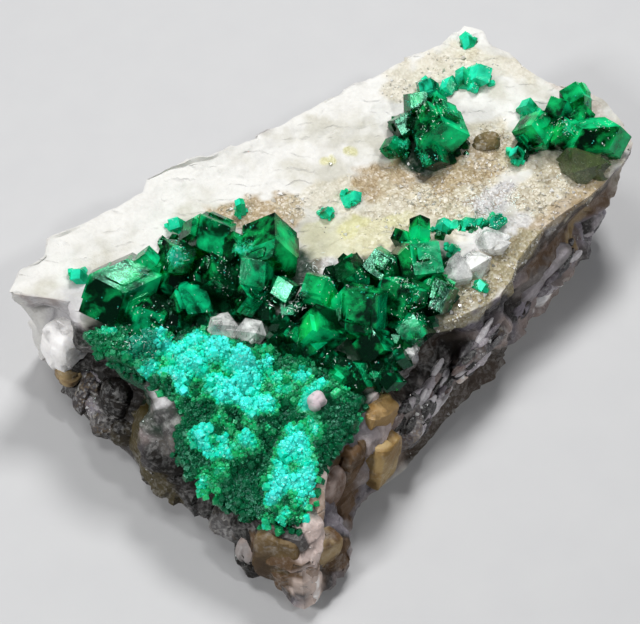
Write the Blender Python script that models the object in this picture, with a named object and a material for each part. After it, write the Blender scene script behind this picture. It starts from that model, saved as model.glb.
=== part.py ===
"""Dioptase specimen: emerald dioptase crystals and a crust of small ones on a broken block of calcite.

The frame: +Z up, +X along the block's length, the origin under the middle of its box, on the table.
The block is one closed surface around a vertical axis. Every crystal is a six-sided prism with a
three-faced cap on each end, as dioptase grows. Crystals that have grown into each other are one solid,
cut clear of the block and of its neighbours by a hair's breadth.
"""

import math

import bmesh
import bpy
import numpy as np
from mathutils import Euler

# ---------------------------------------------------------------- driving dimensions, in millimetres
MM = 0.001
MIDDLE = (0.7, -0.97, 0.0)  # of the whole specimen's box in the tables' frame, which the part has at 0, 0
CLEARANCE = 0.35  # between solids that touch
COLUMN_SPACING = 3.0  # along the block's rim
GRID_ROWS = (8, 8, 2)  # up the block's wall, over its upper face and under it
FACE_TILT = (0.04, 0.10)  # rise of the upper face for each millimetre of X and of Y
FACE_HEIGHT = 15.6  # of the upper face over the block's axis
CAP_SLOPE = math.tan(math.radians(50.8))  # of dioptase's cap faces, off the plane across the prism
QUARTZ_SLOPE = math.tan(math.radians(51.8))
CALCITE_SLOPE = 0.9
TIP_ROOM = 3.0  # how much further a crystal's tips move than its faces, when it is given room
RIM_STEP = 0.5  # between the rim points that shape the upper face
WALL_LEAN = (0.18, 0.89)  # upward share of the normal where wall starts to turn into face, and where it has
# Size, height and seed of the broken faces, then of the waves under them, on the walls and on the upper face.
WALL_ROUGHNESS = ((5.0, 1.3, 7), (9.0, 0.6, 27))
FACE_ROUGHNESS = ((3.2, 0.22, 37), (6.0, 0.35, 47))

# The block's corners, anticlockwise seen from above: the rim of the upper face (x, y, z),
# the foot under it (x, y), and how far the wall between them is hollowed.
STATIONS = (
    (33.0, -13.3, 15.0, 29.0, -11.0, 0.5),
    (34.6, -10.5, 15.3, 31.5, -9.0, 0.2),
    (35.3, -7.5, 15.8, 31.5, -6.5, 0.0),
    (34.9, -4.0, 16.3, 30.5, -3.5, 0.5),
    (32.5, -0.2, 16.8, 30.0, 0.0, 0.0),
    (32.3, 3.8, 17.0, 29.0, 3.5, 0.0),
    (33.1, 6.2, 17.2, 29.5, 6.0, -0.5),
    (31.8, 8.0, 17.6, 28.5, 8.0, -0.5),
    (33.0, 10.5, 17.9, 28.5, 10.0, 0.0),
    (32.2, 12.8, 18.0, 27.5, 11.5, 0.0),
    (27.5, 12.2, 18.0, 25.0, 12.5, -0.5),
    (21.2, 13.5, 18.0, 20.5, 14.0, -1.0),
    (16.0, 14.2, 18.0, 15.5, 13.8, -1.0),
    (11.5, 15.3, 18.0, 11.0, 15.0, -1.2),
    (6.0, 15.6, 18.0, 5.5, 15.5, -1.0),
    (0.0, 16.2, 18.0, -1.0, 15.5, -1.0),
    (-5.5, 17.8, 18.0, -6.0, 17.5, -0.8),
    (-10.0, 20.0, 18.0, -10.0, 18.5, -0.5),
    (-13.2, 20.8, 17.8, -12.5, 19.0, -0.5),
    (-14.6, 19.6, 17.4, -14.5, 18.5, -0.5),
    (-20.0, 20.0, 17.1, -19.0, 18.5, -0.5),
    (-26.4, 21.7, 17.0, -23.5, 19.5, 0.0),
    (-28.2, 20.6, 16.8, -26.0, 19.0, 0.0),
    (-31.2, 20.7, 16.5, -28.0, 19.5, 0.0),
    (-33.9, 19.5, 16.0, -29.5, 18.5, 0.2),
    (-31.8, 16.5, 15.9, -30.5, 16.5, 0.5),
    (-29.8, 14.0, 15.7, -31.5, 14.5, 0.5),
    (-30.8, 10.6, 15.2, -32.5, 11.5, 1.0),
    (-31.6, 7.4, 14.6, -33.0, 7.5, 1.8),
    (-30.7, 3.4, 13.6, -32.8, 3.5, 2.2),
    (-30.8, -0.4, 12.6, -33.0, 0.5, 1.2),
    (-31.6, -3.2, 11.6, -34.0, -2.4, 0.0),
    (-33.0, -5.8, 10.4, -33.0, -5.0, 0.2),
    (-33.3, -8.2, 9.6, -32.2, -7.5, 0.2),
    (-32.6, -10.6, 9.2, -32.0, -10.0, 0.5),
    (-32.3, -13.8, 8.9, -31.8, -13.4, 0.5),
    (-31.8, -16.6, 8.8, -32.2, -17.0, 0.3),
    (-31.6, -19.2, 8.9, -32.2, -20.4, 0.2),
    (-30.4, -21.5, 9.0, -32.2, -24.0, -0.2),
    (-28.0, -20.5, 9.9, -29.6, -23.2, -0.2),
    (-25.4, -18.8, 10.6, -26.8, -21.4, 0.0),
    (-23.2, -17.6, 11.1, -24.0, -20.4, 0.5),
    (-20.4, -17.2, 11.7, -21.5, -19.7, 0.3),
    (-17.4, -16.5, 12.2, -18.0, -19.2, 0.0),
    (-13.6, -16.2, 12.6, -15.0, -19.2, 0.0),
    (-11.3, -14.6, 13.0, -12.5, -19.8, 0.5),
    (-7.7, -13.9, 13.3, -9.0, -19.5, 1.4),
    (-4.2, -15.0, 13.5, -5.5, -18.7, 1.8),
    (-0.8, -15.8, 13.6, -1.5, -18.0, 1.0),
    (2.0, -16.6, 13.8, 1.8, -17.6, 0.4),
    (4.6, -17.2, 13.9, 5.0, -17.2, 0.2),
    (7.2, -16.5, 14.0, 7.8, -16.5, 0.8),
    (9.8, -15.3, 14.1, 10.0, -15.9, 0.8),
    (12.6, -14.7, 14.2, 12.5, -15.3, 0.2),
    (15.8, -14.2, 14.3, 15.8, -15.3, 0.2),
    (19.4, -14.4, 14.4, 19.5, -15.0, 0.3),
    (23.2, -14.9, 14.5, 23.0, -13.6, 0.4),
    (25.8, -14.8, 14.6, 26.0, -12.4, 0.5),
    (29.2, -14.4, 14.8, 27.8, -11.8, 0.5),
)
BASE_INSET = 2.2  # the flat underside's edge, inside the foot
FOOT_HEIGHT = 1.4  # of the worn edge round the underside
LOWEST_EDGE = 0.3  # nothing but the flat underside comes lower

# Swellings and hollows of the block: centre (x, y, z), reach, and height out of the surface.
SWELLINGS = (
    (-31.6, 15.8, 8.4, 2.2, 2.0),  # white knob on the left wall
    (-31.6, 16.2, 12.2, 1.7, -0.9),  # groove over it
    (-32.5, 10.5, 5.0, 2.6, 1.0),
    (-31.5, 5.2, 10.5, 3.4, -1.8),  # dark hollow under the crust
    (-32.6, -1.6, 6.0, 3.0, 1.5),  # brown block on the left wall
    (-32.6, -8.5, 4.0, 3.0, 0.8),
    (-32.0, -12.6, 5.0, 1.9, -0.9),
    (-32.4, -18.8, 4.0, 2.8, 0.6),
    (-25.6, -21.8, 4.4, 2.2, 0.6),  # lump beside the front tip
    (-22.6, -18.6, 6.5, 2.2, -0.6),
    (-30.2, -2.6, 12.4, 1.6, 0.7),  # white spur beside the crust
    (-15.6, -17.8, 7.6, 2.4, 1.3),  # stained blocks on the front wall
    (-14.8, -18.8, 2.8, 2.2, 1.0),
    (-11.6, -18.0, 4.4, 1.8, 0.8),  # ledge that climbs to the right
    (-8.8, -17.8, 6.2, 2.2, 1.3),
    (-4.4, -17.4, 7.6, 2.2, 1.3),
    (0.6, -17.2, 7.8, 2.2, 1.2),
    (5.2, -17.2, 7.6, 1.9, 0.9),
    (-6.6, -15.6, 11.4, 2.8, -1.5),  # hollow over the ledge
    (3.4, -17.2, 4.4, 1.4, -0.8),
    (8.8, -16.0, 9.2, 1.8, -1.6),  # notch in the front wall
    (14.0, -15.4, 8.4, 2.4, 1.0),
    (18.4, -15.4, 6.4, 2.6, 0.8),
    (22.0, -14.6, 10.2, 2.6, -0.6),
    (11.5, 0.8, 16.6, 2.0, -0.9),  # pit beside the upper crystals
    (-7.5, 10.2, 16.8, 4.0, 0.4),  # grainy swelling behind the left crystals
    (-0.5, 7.6, 16.6, 4.0, 0.4),
    (17.5, 0.0, 16.6, 4.0, 0.4),
    (9.0, -9.5, 15.0, 4.0, 0.4),
    (-22.0, 16.0, 16.8, 5.0, 0.3),
    (-27.5, 17.5, 16.6, 3.0, -0.4),
)

# Crystals: centre (x, y, z), bearing and rise of the long axis and roll about it in degrees,
# radius to the prism's edges and length from tip to tip.
CRYSTAL_GROUPS = {
    "left_crystals": (
        (-25.4, 10.4, 16.9, 172, 4, 14, 3.5, 11.0),
        (-21.9, 10.0, 18.2, 215, 76, 0, 1.5, 6.0),
        (-19.4, 8.4, 18.5, 235, 68, 30, 2.2, 6.5),
        (-20.6, 7.6, 16.6, 215, 45, 0, 2.2, 6.0),
        (-14.5, 9.0, 17.4, 208, 36, 10, 3.2, 8.0),
        (-10.9, 3.0, 17.6, 30, 52, 20, 3.5, 8.5),
        (-13.4, 5.6, 16.8, 240, 50, 0, 2.6, 6.5),
        (-17.4, 4.8, 16.6, 228, 50, 0, 2.9, 7.0),
        (-21.0, 4.6, 15.9, 224, 28, 25, 2.6, 6.5),
        (-16.8, 0.6, 15.6, 250, 66, 0, 1.8, 5.2),
        (-14.0, 2.2, 16.6, 300, 60, 0, 2.4, 6.2),
        (-25.0, 6.6, 15.6, 200, 14, 0, 2.5, 7.5),
        (-12.9, -1.0, 15.8, 280, 50, 0, 1.7, 5.0),
    ),
    "middle_crystals": (
        (-10.1, -4.2, 15.7, 118, 60, 0, 2.1, 6.5),
        (-13.1, -7.4, 14.8, 222, 55, 15, 2.8, 7.0),
        (-8.8, -8.8, 15.2, 290, 62, 10, 3.4, 8.8),
        (-6.3, -5.2, 15.7, 60, 64, 0, 2.0, 5.6),
        (-2.8, -6.6, 15.7, 100, 66, 0, 2.2, 6.0),
        (0.3, -8.7, 16.1, 330, 50, 0, 2.9, 7.2),
        (3.2, -6.4, 16.3, 45, 66, 0, 1.3, 5.2),
        (1.8, -5.4, 15.8, 90, 40, 0, 1.1, 3.6),
        (-4.4, -10.4, 15.1, 262, 66, 20, 2.8, 7.0),
        (-1.2, -12.8, 14.8, 282, 54, 0, 2.3, 6.0),
        (-5.6, -13.4, 13.7, 262, 34, 0, 2.2, 6.0),
        (-10.2, -12.4, 13.6, 250, 45, 0, 2.4, 6.2),
        (-14.0, -13.8, 12.6, 245, 40, 10, 2.4, 6.0),
        (-15.8, -6.0, 14.2, 200, 60, 0, 1.8, 5.0),
        (-15.2, -10.2, 13.4, 215, 60, 0, 1.8, 5.0),
    ),
    "top_crystals": (
        (15.8, 2.2, 18.1, 226, 58, 12, 3.5, 8.5),
        (17.0, 6.6, 18.2, 150, 66, 0, 1.7, 5.4),
        (14.0, 6.0, 17.5, 170, 50, 0, 1.6, 4.8),
        (10.9, 4.8, 17.0, 200, 48, 0, 1.4, 4.4),
        (13.2, 0.8, 16.9, 240, 30, 0, 1.9, 5.2),
        (18.8, 5.4, 17.6, 40, 40, 0, 1.5, 4.6),
    ),
    "right_crystals": (
        (24.4, -5.2, 17.0, 195, 58, 0, 2.5, 6.4),
        (31.4, -5.6, 17.5, 60, 70, 10, 1.9, 5.6),
        (28.9, -5.2, 17.2, 110, 60, 0, 1.7, 5.2),
        (26.6, -7.6, 16.8, 230, 55, 0, 2.0, 5.6),
        (28.6, -10.6, 16.8, 316, 5, 15, 2.5, 9.0),
        (29.2, -8.0, 17.2, 20, 60, 0, 1.6, 4.8),
    ),
    "chain_crystals": (
        (20.6, 8.2, 17.8, 150, 45, 0, 1.5, 4.6),
        (22.8, 7.0, 17.6, 20, 30, 0, 1.1, 3.6),
        (24.6, 6.4, 17.9, 40, 50, 0, 1.2, 3.8),
        (26.6, 5.6, 17.9, 310, 36, 0, 1.7, 4.6),
    ),
    "vein_crystals": (
        (6.6, -6.8, 15.2, 30, 50, 0, 1.0, 3.2),
        (7.9, -7.5, 15.2, 330, 30, 0, 0.8, 2.8),
        (9.1, -8.2, 15.2, 320, 40, 0, 0.9, 3.0),
        (10.3, -9.1, 15.1, 300, 30, 0, 0.8, 2.8),
        (11.6, -10.2, 15.0, 340, 50, 0, 1.1, 3.4),
    ),
}
SINGLE_CRYSTALS = {
    "corner_crystal": ((30.0, 10.4, 18.1, 60, 50, 0, 1.0, 3.2),),
    "crystal_behind_left": ((-15.0, 13.3, 16.9, 150, 50, 0, 1.1, 3.6),),
    "crystal_on_left_rim": ((-27.2, 15.7, 16.2, 140, 60, 0, 1.0, 3.4),),
    "crystal_in_grains": ((-8.4, 10.2, 17.2, 60, 75, 0, 0.7, 3.0),),
    "crystal_on_face": ((2.1, 3.2, 16.1, 330, 25, 0, 1.0, 3.4),),
    "small_crystal_on_face": ((-1.4, 3.4, 16.1, 200, 60, 0, 0.8, 2.8),),
    "crystal_beside_quartz": ((5.2, -9.6, 14.9, 260, 60, 0, 0.8, 2.8),),
    "crystal_at_front_rim": ((4.0, -14.8, 14.1, 270, 50, 0, 0.9, 2.8),),
    "crystal_behind_right": ((27.3, -1.8, 16.9, 200, 50, 0, 1.3, 3.8),),
    "crystal_left_of_right": ((20.8, -5.6, 16.2, 210, 50, 0, 1.1, 3.4),),
}
QUARTZ_CRYSTALS = {
    "quartz_beside_middle": (
        (3.2, -12.0, 14.7, 40, 70, 0, 2.0, 5.4),
        (5.6, -12.8, 14.6, 300, 50, 0, 1.8, 5.0),
    ),
    "quartz_on_face": ((9.0, -11.8, 14.9, 320, 20, 0, 1.9, 5.2),),
    "quartz_in_front": (
        (-20.6, 0.3, 14.8, 200, 60, 0, 2.0, 5.2),
        (-18.6, -2.2, 14.5, 250, 50, 0, 1.8, 4.8),
    ),
    "quartz_under_middle": ((-7.9, -14.4, 12.6, 262, 40, 0, 1.9, 5.0),),
    "smoky_quartz": ((25.2, -11.6, 15.4, 300, 26, 0, 2.8, 7.2),),
}
BROWN_GRAINS = {"brown_calcite": ((19.8, -1.7, 16.4, 200, 60, 10, 1.7, 3.4),)}
WHITE_GRAINS = {"white_calcite_grain": ((-18.9, -12.4, 13.8, 230, 60, 0, 1.4, 3.2),)}

# The crust of small crystals over the block's sloping front end: its outline and middle (x, y).
CRUST_OUTLINE = (
    (-31.4, 9.6), (-28.6, 8.2), (-25.6, 5.4), (-22.0, 1.8), (-20.4, -1.6), (-18.6, -4.2),
    (-16.8, -7.4), (-15.8, -10.8), (-16.0, -13.4), (-15.6, -16.0), (-18.4, -17.0), (-21.0, -17.6),
    (-24.0, -18.2), (-27.0, -19.6), (-29.8, -20.8), (-31.4, -18.2), (-32.4, -14.8), (-33.0, -11.6),
    (-33.4, -8.2), (-32.6, -5.0), (-30.2, -4.2), (-29.6, -1.8), (-30.0, 1.4), (-30.8, 4.0), (-31.8, 7.0),
)
CRUST_MIDDLE = (-26.5, -6.5)
CRUST_RINGS = (1.0, 0.88, 0.66, 0.42, 0.2)  # from the outline to near the middle
CRUST_THICKNESS = 2.0
CRUST_EDGE = 0.35  # the crust's thickness at its outline
CRUST_LUMPS = (2.6, 0.7)  # how far apart and how high
CRUST_SINK = 2.4  # how far its underside starts below the block's face, before it is cut clear
CRUST_CRYSTALS = 36
CRUST_SPREAD = 1.9  # least distance between two of them
CRUST_RADII = (1.0, 1.8)
CRUST_SLENDERNESS = 2.6  # length over radius
CRUST_DEPTH = 0.75  # share of the crust's thickness at which they are centred
CRUST_LEANS = ((180.0, 35.0, 0.0), (300.0, 85.0, 60.0))  # least and most bearing, rise and roll
CRUST_SEED = 11

MATERIALS = {  # colour, roughness
    "calcite": ((0.80, 0.77, 0.72), 0.7),
    "stained calcite": ((0.45, 0.33, 0.18), 0.6),
    "dioptase": ((0.00, 0.25, 0.10), 0.12),
    "fine dioptase": ((0.03, 0.60, 0.42), 0.3),
    "quartz": ((0.75, 0.78, 0.76), 0.1),
}


# ---------------------------------------------------------------- noise for broken rock
def lattice(cells, seed):
    """A fixed number from -1 to 1 for each whole-numbered cell: its integers mixed and cut to 32 bits."""
    i, j, k = (cells[..., axis].astype(np.int64) for axis in range(3))
    mixed = (i * 73856093) ^ (j * 19349663) ^ (k * 83492791) ^ (seed * 26544357)
    mixed &= 0xFFFFFFFF
    mixed = ((mixed ^ (mixed >> 13)) * 1274126177) & 0xFFFFFFFF
    mixed = ((mixed ^ (mixed >> 16)) * 2246822519) & 0xFFFFFFFF
    return (mixed ^ (mixed >> 15)) / float(0xFFFFFFFF) * 2.0 - 1.0


def swirl(points, cell, seed):
    """Smooth noise: the numbers at the eight corners of a cell, blended by an S curve."""
    scaled = points / cell
    whole = np.floor(scaled)
    share = scaled - whole
    share = share * share * (3.0 - 2.0 * share)
    total = np.zeros(points.shape[:-1])
    for corner in np.ndindex(2, 2, 2):
        weight = np.prod(np.where(np.array(corner) == 1, share, 1.0 - share), axis=-1)
        total += weight * lattice(whole + np.array(corner), seed)
    return total


def chips(points, cell, seed):
    """Broken faces: each point takes the tilted plane of the nearest jittered cell centre."""
    scaled = points / cell
    whole = np.floor(scaled)
    nearest = np.full(points.shape[:-1], np.inf)
    height = np.zeros(points.shape[:-1])
    for step in np.ndindex(3, 3, 3):
        home = whole + np.array(step) - 1.0
        centre = home + 0.5 + 0.45 * np.stack([lattice(home, seed + n) for n in (1, 2, 3)], axis=-1)
        offset = scaled - centre
        distance = (offset**2).sum(axis=-1)
        tilt = np.stack([lattice(home, seed + n) for n in (4, 5, 6)], axis=-1)
        plane = (offset * tilt).sum(axis=-1) + 0.5 * lattice(home, seed + 7)
        closer = distance < nearest
        nearest = np.where(closer, distance, nearest)
        height = np.where(closer, plane, height)
    return height


# ---------------------------------------------------------------- the block
def around(spacing):
    """The stations joined by straight stretches, cut so that rim columns are about spacing apart."""
    table = np.array(STATIONS)
    following = np.roll(table, -1, axis=0)
    lengths = np.linalg.norm((following - table)[:, :3], axis=1)
    rows = []
    for start, end, length in zip(table, following, lengths):
        share = np.arange(max(1, round(length / spacing))) / max(1, round(length / spacing))
        rows.append(start + (end - start) * share[:, None])
    return np.concatenate(rows)


def plane(x, y):
    """Height of the tilted plane that the upper face follows."""
    return FACE_HEIGHT + FACE_TILT[0] * x + FACE_TILT[1] * y


def upper_face(x, y):
    """Height of the upper face: a tilted plane that eases to the rim's own height along each bearing."""
    rim_x, rim_y, rim_z = around(RIM_STEP)[:, :3].T
    bearing = np.arctan2(rim_y, rim_x)
    order = np.argsort(bearing)
    here = np.arctan2(y, x)
    reach = np.interp(here, bearing[order], np.hypot(rim_x, rim_y)[order], period=2 * math.pi)
    drop = np.interp(here, bearing[order], (rim_z - plane(rim_x, rim_y))[order], period=2 * math.pi)
    share = np.clip(np.hypot(x, y) / reach, 0.0, 1.0)
    return plane(x, y) + drop * share**3


def block_grid(spacing, wall_rows, face_rows, base_rows):
    """The block before it is broken, as rows of columns.

    Each column starts on the flat underside, goes out to its foot and up the wall to its rim,
    and comes back over the upper face. The points on the block's axis aren't in it.
    """
    column = around(spacing)
    rim, foot, hollow = column[:, :3], column[:, 3:5], column[:, 5]
    reach = np.linalg.norm(foot, axis=1, keepdims=True)
    outward = foot / reach
    rows = []
    for share in np.linspace(0.0, 1.0, base_rows + 1)[1:]:
        flat = outward * (reach - BASE_INSET) * share
        rows.append(np.column_stack([flat, np.zeros(len(flat))]))
    low = np.column_stack([foot, np.full(len(foot), FOOT_HEIGHT)])
    for share in np.linspace(0.0, 1.0, wall_rows + 1):
        wall = low + (rim - low) * share
        wall[:, :2] -= outward * (hollow * math.sin(math.pi * share))[:, None]
        rows.append(wall)
    for share in np.linspace(1.0, 0.0, face_rows + 1)[1:-1]:
        x, y = (rim[:, :2] * share).T
        rows.append(np.column_stack([x, y, upper_face(x, y)]))
    return np.array(rows)


def grid_faces(rows, columns):
    """Quads between neighbouring rows, closed round the axis, and a fan at each end of it."""
    here = np.arange(columns)
    after = np.roll(here, -1)
    faces = []
    for row in range(rows - 1):
        low, high = row * columns, (row + 1) * columns
        faces += np.column_stack([low + here, low + after, high + after, high + here]).tolist()
    bottom, top = rows * columns, rows * columns + 1
    last = (rows - 1) * columns
    faces += [(bottom, after[n], here[n]) for n in range(columns)]
    faces += [(last + here[n], last + after[n], top) for n in range(columns)]
    return faces


def outward_normals(grid):
    """Unit normals from the steps along the rows and round the columns."""
    climb = np.gradient(grid, axis=0)
    turn = np.roll(grid, -1, axis=1) - np.roll(grid, 1, axis=1)
    normal = np.cross(turn, climb)
    return normal / np.maximum(np.linalg.norm(normal, axis=2, keepdims=True), 1e-9)


def rough(points, breaks, waves):
    """Broken faces and waves together, each from its size, height and seed."""
    total = np.zeros(points.shape[:-1])
    for noise, (size, height, seed) in ((chips, breaks), (swirl, waves)):
        total += height * noise(points, size, seed)
    return total


def broken(grid):
    """The grid pushed in and out: broken faces on its walls, a gentle grain on top, and its swellings."""
    normal = outward_normals(grid)
    steep, level = WALL_LEAN
    wall = np.clip((level - np.abs(normal[..., 2])) / (level - steep), 0.0, 1.0)
    push = rough(grid, *WALL_ROUGHNESS) * wall + rough(grid, *FACE_ROUGHNESS) * (1.0 - wall)
    for x, y, z, reach, height in SWELLINGS:
        away = ((grid - (x, y, z)) ** 2).sum(axis=-1)
        push = push + height * np.exp(-away / reach**2)
    moved = grid + normal * push[..., None]
    moved[..., 2] = np.maximum(moved[..., 2], LOWEST_EDGE)
    return np.where(grid[..., 2:] == 0.0, grid, moved)


def block_mesh(name, skin=0.0):
    """The block as a closed mesh, or a skin that stands that far outside it."""
    grid = broken(block_grid(COLUMN_SPACING, *GRID_ROWS))
    if skin:
        grid = grid + outward_normals(grid) * skin
        grid[: GRID_ROWS[2], :, 2] = -skin
    ends = [(0.0, 0.0, -skin), (0.0, 0.0, FACE_HEIGHT + skin)]
    points = np.concatenate([grid.reshape(-1, 3), ends])
    return mesh_of(name, points, grid_faces(*grid.shape[:2]))


# ---------------------------------------------------------------- crystals
def prism(radius, length, cap_faces, slope):
    """A six-sided crystal about Z: its lower corners, its upper corners, then its two tips.

    A cap face falls away from the tip by slope for each millimetre. With three faces to a cap, those of
    the upper one lie over every second edge of the prism and those of the lower one under the others,
    so a corner between two faces drops half as far as one under the middle of a face.
    """
    angle = np.radians(60.0 * np.arange(6))
    ring = np.column_stack([np.cos(angle), np.sin(angle)]) * radius
    under_face = np.arange(6) % 2 == 0
    if cap_faces == 6:
        fall_up = fall_down = np.full(6, slope * radius)
    else:
        fall_up = np.where(under_face, 1.0, 0.5) * slope * radius
        fall_down = np.where(under_face, 0.5, 1.0) * slope * radius
    upper = np.column_stack([ring, length / 2 - fall_up])
    lower = np.column_stack([ring, fall_down - length / 2])
    tips = [(0.0, 0.0, -length / 2), (0.0, 0.0, length / 2)]
    faces = [(k, (k + 1) % 6, 6 + (k + 1) % 6, 6 + k) for k in range(6)]
    if cap_faces == 6:
        faces += [(6 + k, 6 + (k + 1) % 6, 13) for k in range(6)]
        faces += [((k + 1) % 6, k, 12) for k in range(6)]
    else:
        faces += [(6 + k, 6 + (k + 1) % 6, 13, 6 + (k - 1) % 6) for k in (0, 2, 4)]
        faces += [(k, (k - 1) % 6, 12, (k + 1) % 6) for k in (1, 3, 5)]
    return np.concatenate([lower, upper, tips]), faces


def placed(points, x, y, z, bearing, rise, roll):
    """Points turned by roll about Z, leaned so that Z points along bearing and rise, and moved."""
    turn = Euler((0.0, math.radians(90.0 - rise), math.radians(bearing))).to_matrix()
    spin = Euler((0.0, 0.0, math.radians(roll))).to_matrix()
    return points @ np.array(turn @ spin).T + (x, y, z)


def crystals_mesh(name, rows, cap_faces=3, slope=CAP_SLOPE, room=0.0):
    """Every crystal of a table in one mesh, each with that much room added outside its faces."""
    side_room = room / math.cos(math.radians(30.0))
    tip_room = room * TIP_ROOM  # the caps are steep, so the tips move further than their faces
    points, faces = [], []
    for x, y, z, bearing, rise, roll, radius, length in rows:
        corners, sides = prism(radius + side_room, length + 2 * tip_room, cap_faces, slope)
        faces += [[len(points) + corner for corner in side] for side in sides]
        points += placed(corners, x, y, z, bearing, rise, roll).tolist()
    return mesh_of(name, points, faces)


# ---------------------------------------------------------------- the crust
def inside(x, y, outline):
    """True where a point is inside a closed outline: an odd number of its edges are to the point's right."""
    start_x, start_y = np.array(outline).T
    end_x, end_y = np.roll(start_x, -1), np.roll(start_y, -1)
    crosses = np.flatnonzero((start_y > y) != (end_y > y))
    share = (y - start_y[crosses]) / (end_y[crosses] - start_y[crosses])
    edge_x = start_x[crosses] + share * (end_x[crosses] - start_x[crosses])
    return (x < edge_x).sum() % 2 == 1


def crust_sheet(name):
    """The crust's own mass: rings from its outline to its middle, thick inside and thin at its edge."""
    corners = np.array(CRUST_OUTLINE)
    halfway = (corners + np.roll(corners, -1, axis=0)) / 2
    edge = np.stack([corners, halfway], axis=1).reshape(-1, 2)
    middle = np.array(CRUST_MIDDLE)
    lump_size, lump_height = CRUST_LUMPS
    upper, lower = [], []
    for share in CRUST_RINGS:
        x, y = (middle + (edge - middle) * share).T
        lumps = lump_height * swirl(np.column_stack([x, y, 0.0 * x]), lump_size, CRUST_SEED)
        thickness = CRUST_EDGE + (CRUST_THICKNESS + lumps) * (1.0 - share**4)
        upper.append(np.column_stack([x, y, upper_face(x, y) + thickness]))
        lower.append(np.column_stack([x, y, upper_face(x, y) - CRUST_SINK]))
    grid = np.array(lower[::-1] + upper)
    face = float(upper_face(*middle))
    ends = [(*middle, face - CRUST_SINK), (*middle, face + CRUST_THICKNESS)]
    mesh = mesh_of(name, np.concatenate([grid.reshape(-1, 3), ends]), grid_faces(*grid.shape[:2]))
    mesh.flip_normals()
    return mesh


def crust_crystals():
    """Rows for the crust's larger crystals: seeded places in its outline, leaning down its slope."""
    draw = np.random.default_rng(CRUST_SEED)
    low, high = np.min(CRUST_OUTLINE, axis=0), np.max(CRUST_OUTLINE, axis=0)
    rows = []
    while len(rows) < CRUST_CRYSTALS:
        x, y = draw.uniform(low, high)
        crowded = any(math.hypot(x - row[0], y - row[1]) < CRUST_SPREAD for row in rows)
        if crowded or not inside(x, y, CRUST_OUTLINE):
            continue
        z = float(upper_face(x, y)) + CRUST_DEPTH * CRUST_THICKNESS
        radius = draw.uniform(*CRUST_RADII)
        bearing, rise, roll = draw.uniform(*CRUST_LEANS)
        rows.append((x, y, z, bearing, rise, roll, radius, radius * CRUST_SLENDERNESS))
    return rows


# ---------------------------------------------------------------- objects
def mesh_of(name, points, faces):
    """A mesh from points in the tables' millimetres."""
    mesh = bpy.data.meshes.new(name)
    mesh.from_pydata(((np.array(points) - MIDDLE) * MM).tolist(), [], faces)
    return mesh


def material(name):
    """The named material, made the first time it is asked for."""
    if name in bpy.data.materials:
        return bpy.data.materials[name]
    colour, roughness = MATERIALS[name]
    made = bpy.data.materials.new(name)
    made.use_nodes = True
    shader = made.node_tree.nodes["Principled BSDF"]
    shader.inputs["Base Color"].default_value = (*colour, 1.0)
    shader.inputs["Roughness"].default_value = roughness
    shader.inputs["Metallic"].default_value = 0.0
    return made


def add(name, mesh, material_name):
    """An object that is a piece of the specimen."""
    piece = bpy.data.objects.new(name, mesh)
    bpy.context.scene.collection.objects.link(piece)
    mesh.materials.append(material(material_name))
    return piece


def add_guide(name, mesh):
    """An object that only cuts or joins: it is left out of renders and of the specimen."""
    guide = bpy.data.objects.new(name, mesh)
    bpy.context.scene.collection.objects.link(guide)
    guide.hide_render = True
    guide.display_type = "WIRE"
    return guide


def keep_largest_body(mesh):
    """Drops the loose flakes that a cut leaves."""
    work = bmesh.new()
    work.from_mesh(mesh)
    bmesh.ops.triangulate(work, faces=work.faces)
    unseen, bodies = set(work.faces), []
    while unseen:
        front, body = [unseen.pop()], []
        while front:
            face = front.pop()
            body.append(face)
            near = {other for edge in face.edges for other in edge.link_faces} & unseen
            unseen -= near
            front += near
        bodies.append(body)

    def volume(body):
        corners = [[vert.co for vert in face.verts] for face in body]
        return sum(a.dot(b.cross(c)) for a, b, c in corners) / 6.0

    largest = set(max(bodies, key=volume))
    bmesh.ops.delete(work, geom=[face for face in work.faces if face not in largest], context="FACES")
    bmesh.ops.delete(work, geom=[vert for vert in work.verts if not vert.link_faces], context="VERTS")
    work.to_mesh(mesh)
    work.free()


def apply_boolean(piece, other, operation):
    """Applies one Boolean to a piece, whose own overlapping crystals it joins as well."""
    step = piece.modifiers.new(operation, "BOOLEAN")
    step.operation = operation
    step.solver = "EXACT"
    step.use_self = True
    step.object = other
    graph = bpy.context.evaluated_depsgraph_get()
    result = bpy.data.meshes.new_from_object(piece.evaluated_get(graph))
    piece.modifiers.clear()
    piece.data = result
    keep_largest_body(result)


def boxes_meet(first, second):
    """True where two unturned objects' boxes overlap."""
    lows, highs = zip(*((np.min(o.bound_box, axis=0), np.max(o.bound_box, axis=0)) for o in (first, second)))
    return bool((np.maximum(*lows) < np.minimum(*highs)).all())


def cut_clear(piece, cutters):
    for cutter in cutters:
        if boxes_meet(piece, cutter):
            apply_boolean(piece, cutter, "DIFFERENCE")


# ---------------------------------------------------------------- the specimen
def build_block():
    block = add("matrix_rock", block_mesh("matrix_rock"), "calcite")
    block.data.shade_flat()
    return [add_guide("block_skin", block_mesh("block_skin", skin=CLEARANCE))]


def build_crystals(tables, material_name, cutters, **shape):
    """One piece for each table, cut clear of the cutters, which each new piece then joins."""
    for name, rows in tables.items():
        cut_clear(add(name, crystals_mesh(name, rows, **shape), material_name), cutters)
        room_name = name + "_room"
        cutters.append(add_guide(room_name, crystals_mesh(room_name, rows, room=CLEARANCE, **shape)))


def build_crust(cutters):
    crust = add("front_crust", crust_sheet("front_crust"), "fine dioptase")
    small = add_guide("crust_crystals", crystals_mesh("crust_crystals", crust_crystals()))
    apply_boolean(crust, small, "UNION")
    cut_clear(crust, cutters)


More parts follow.
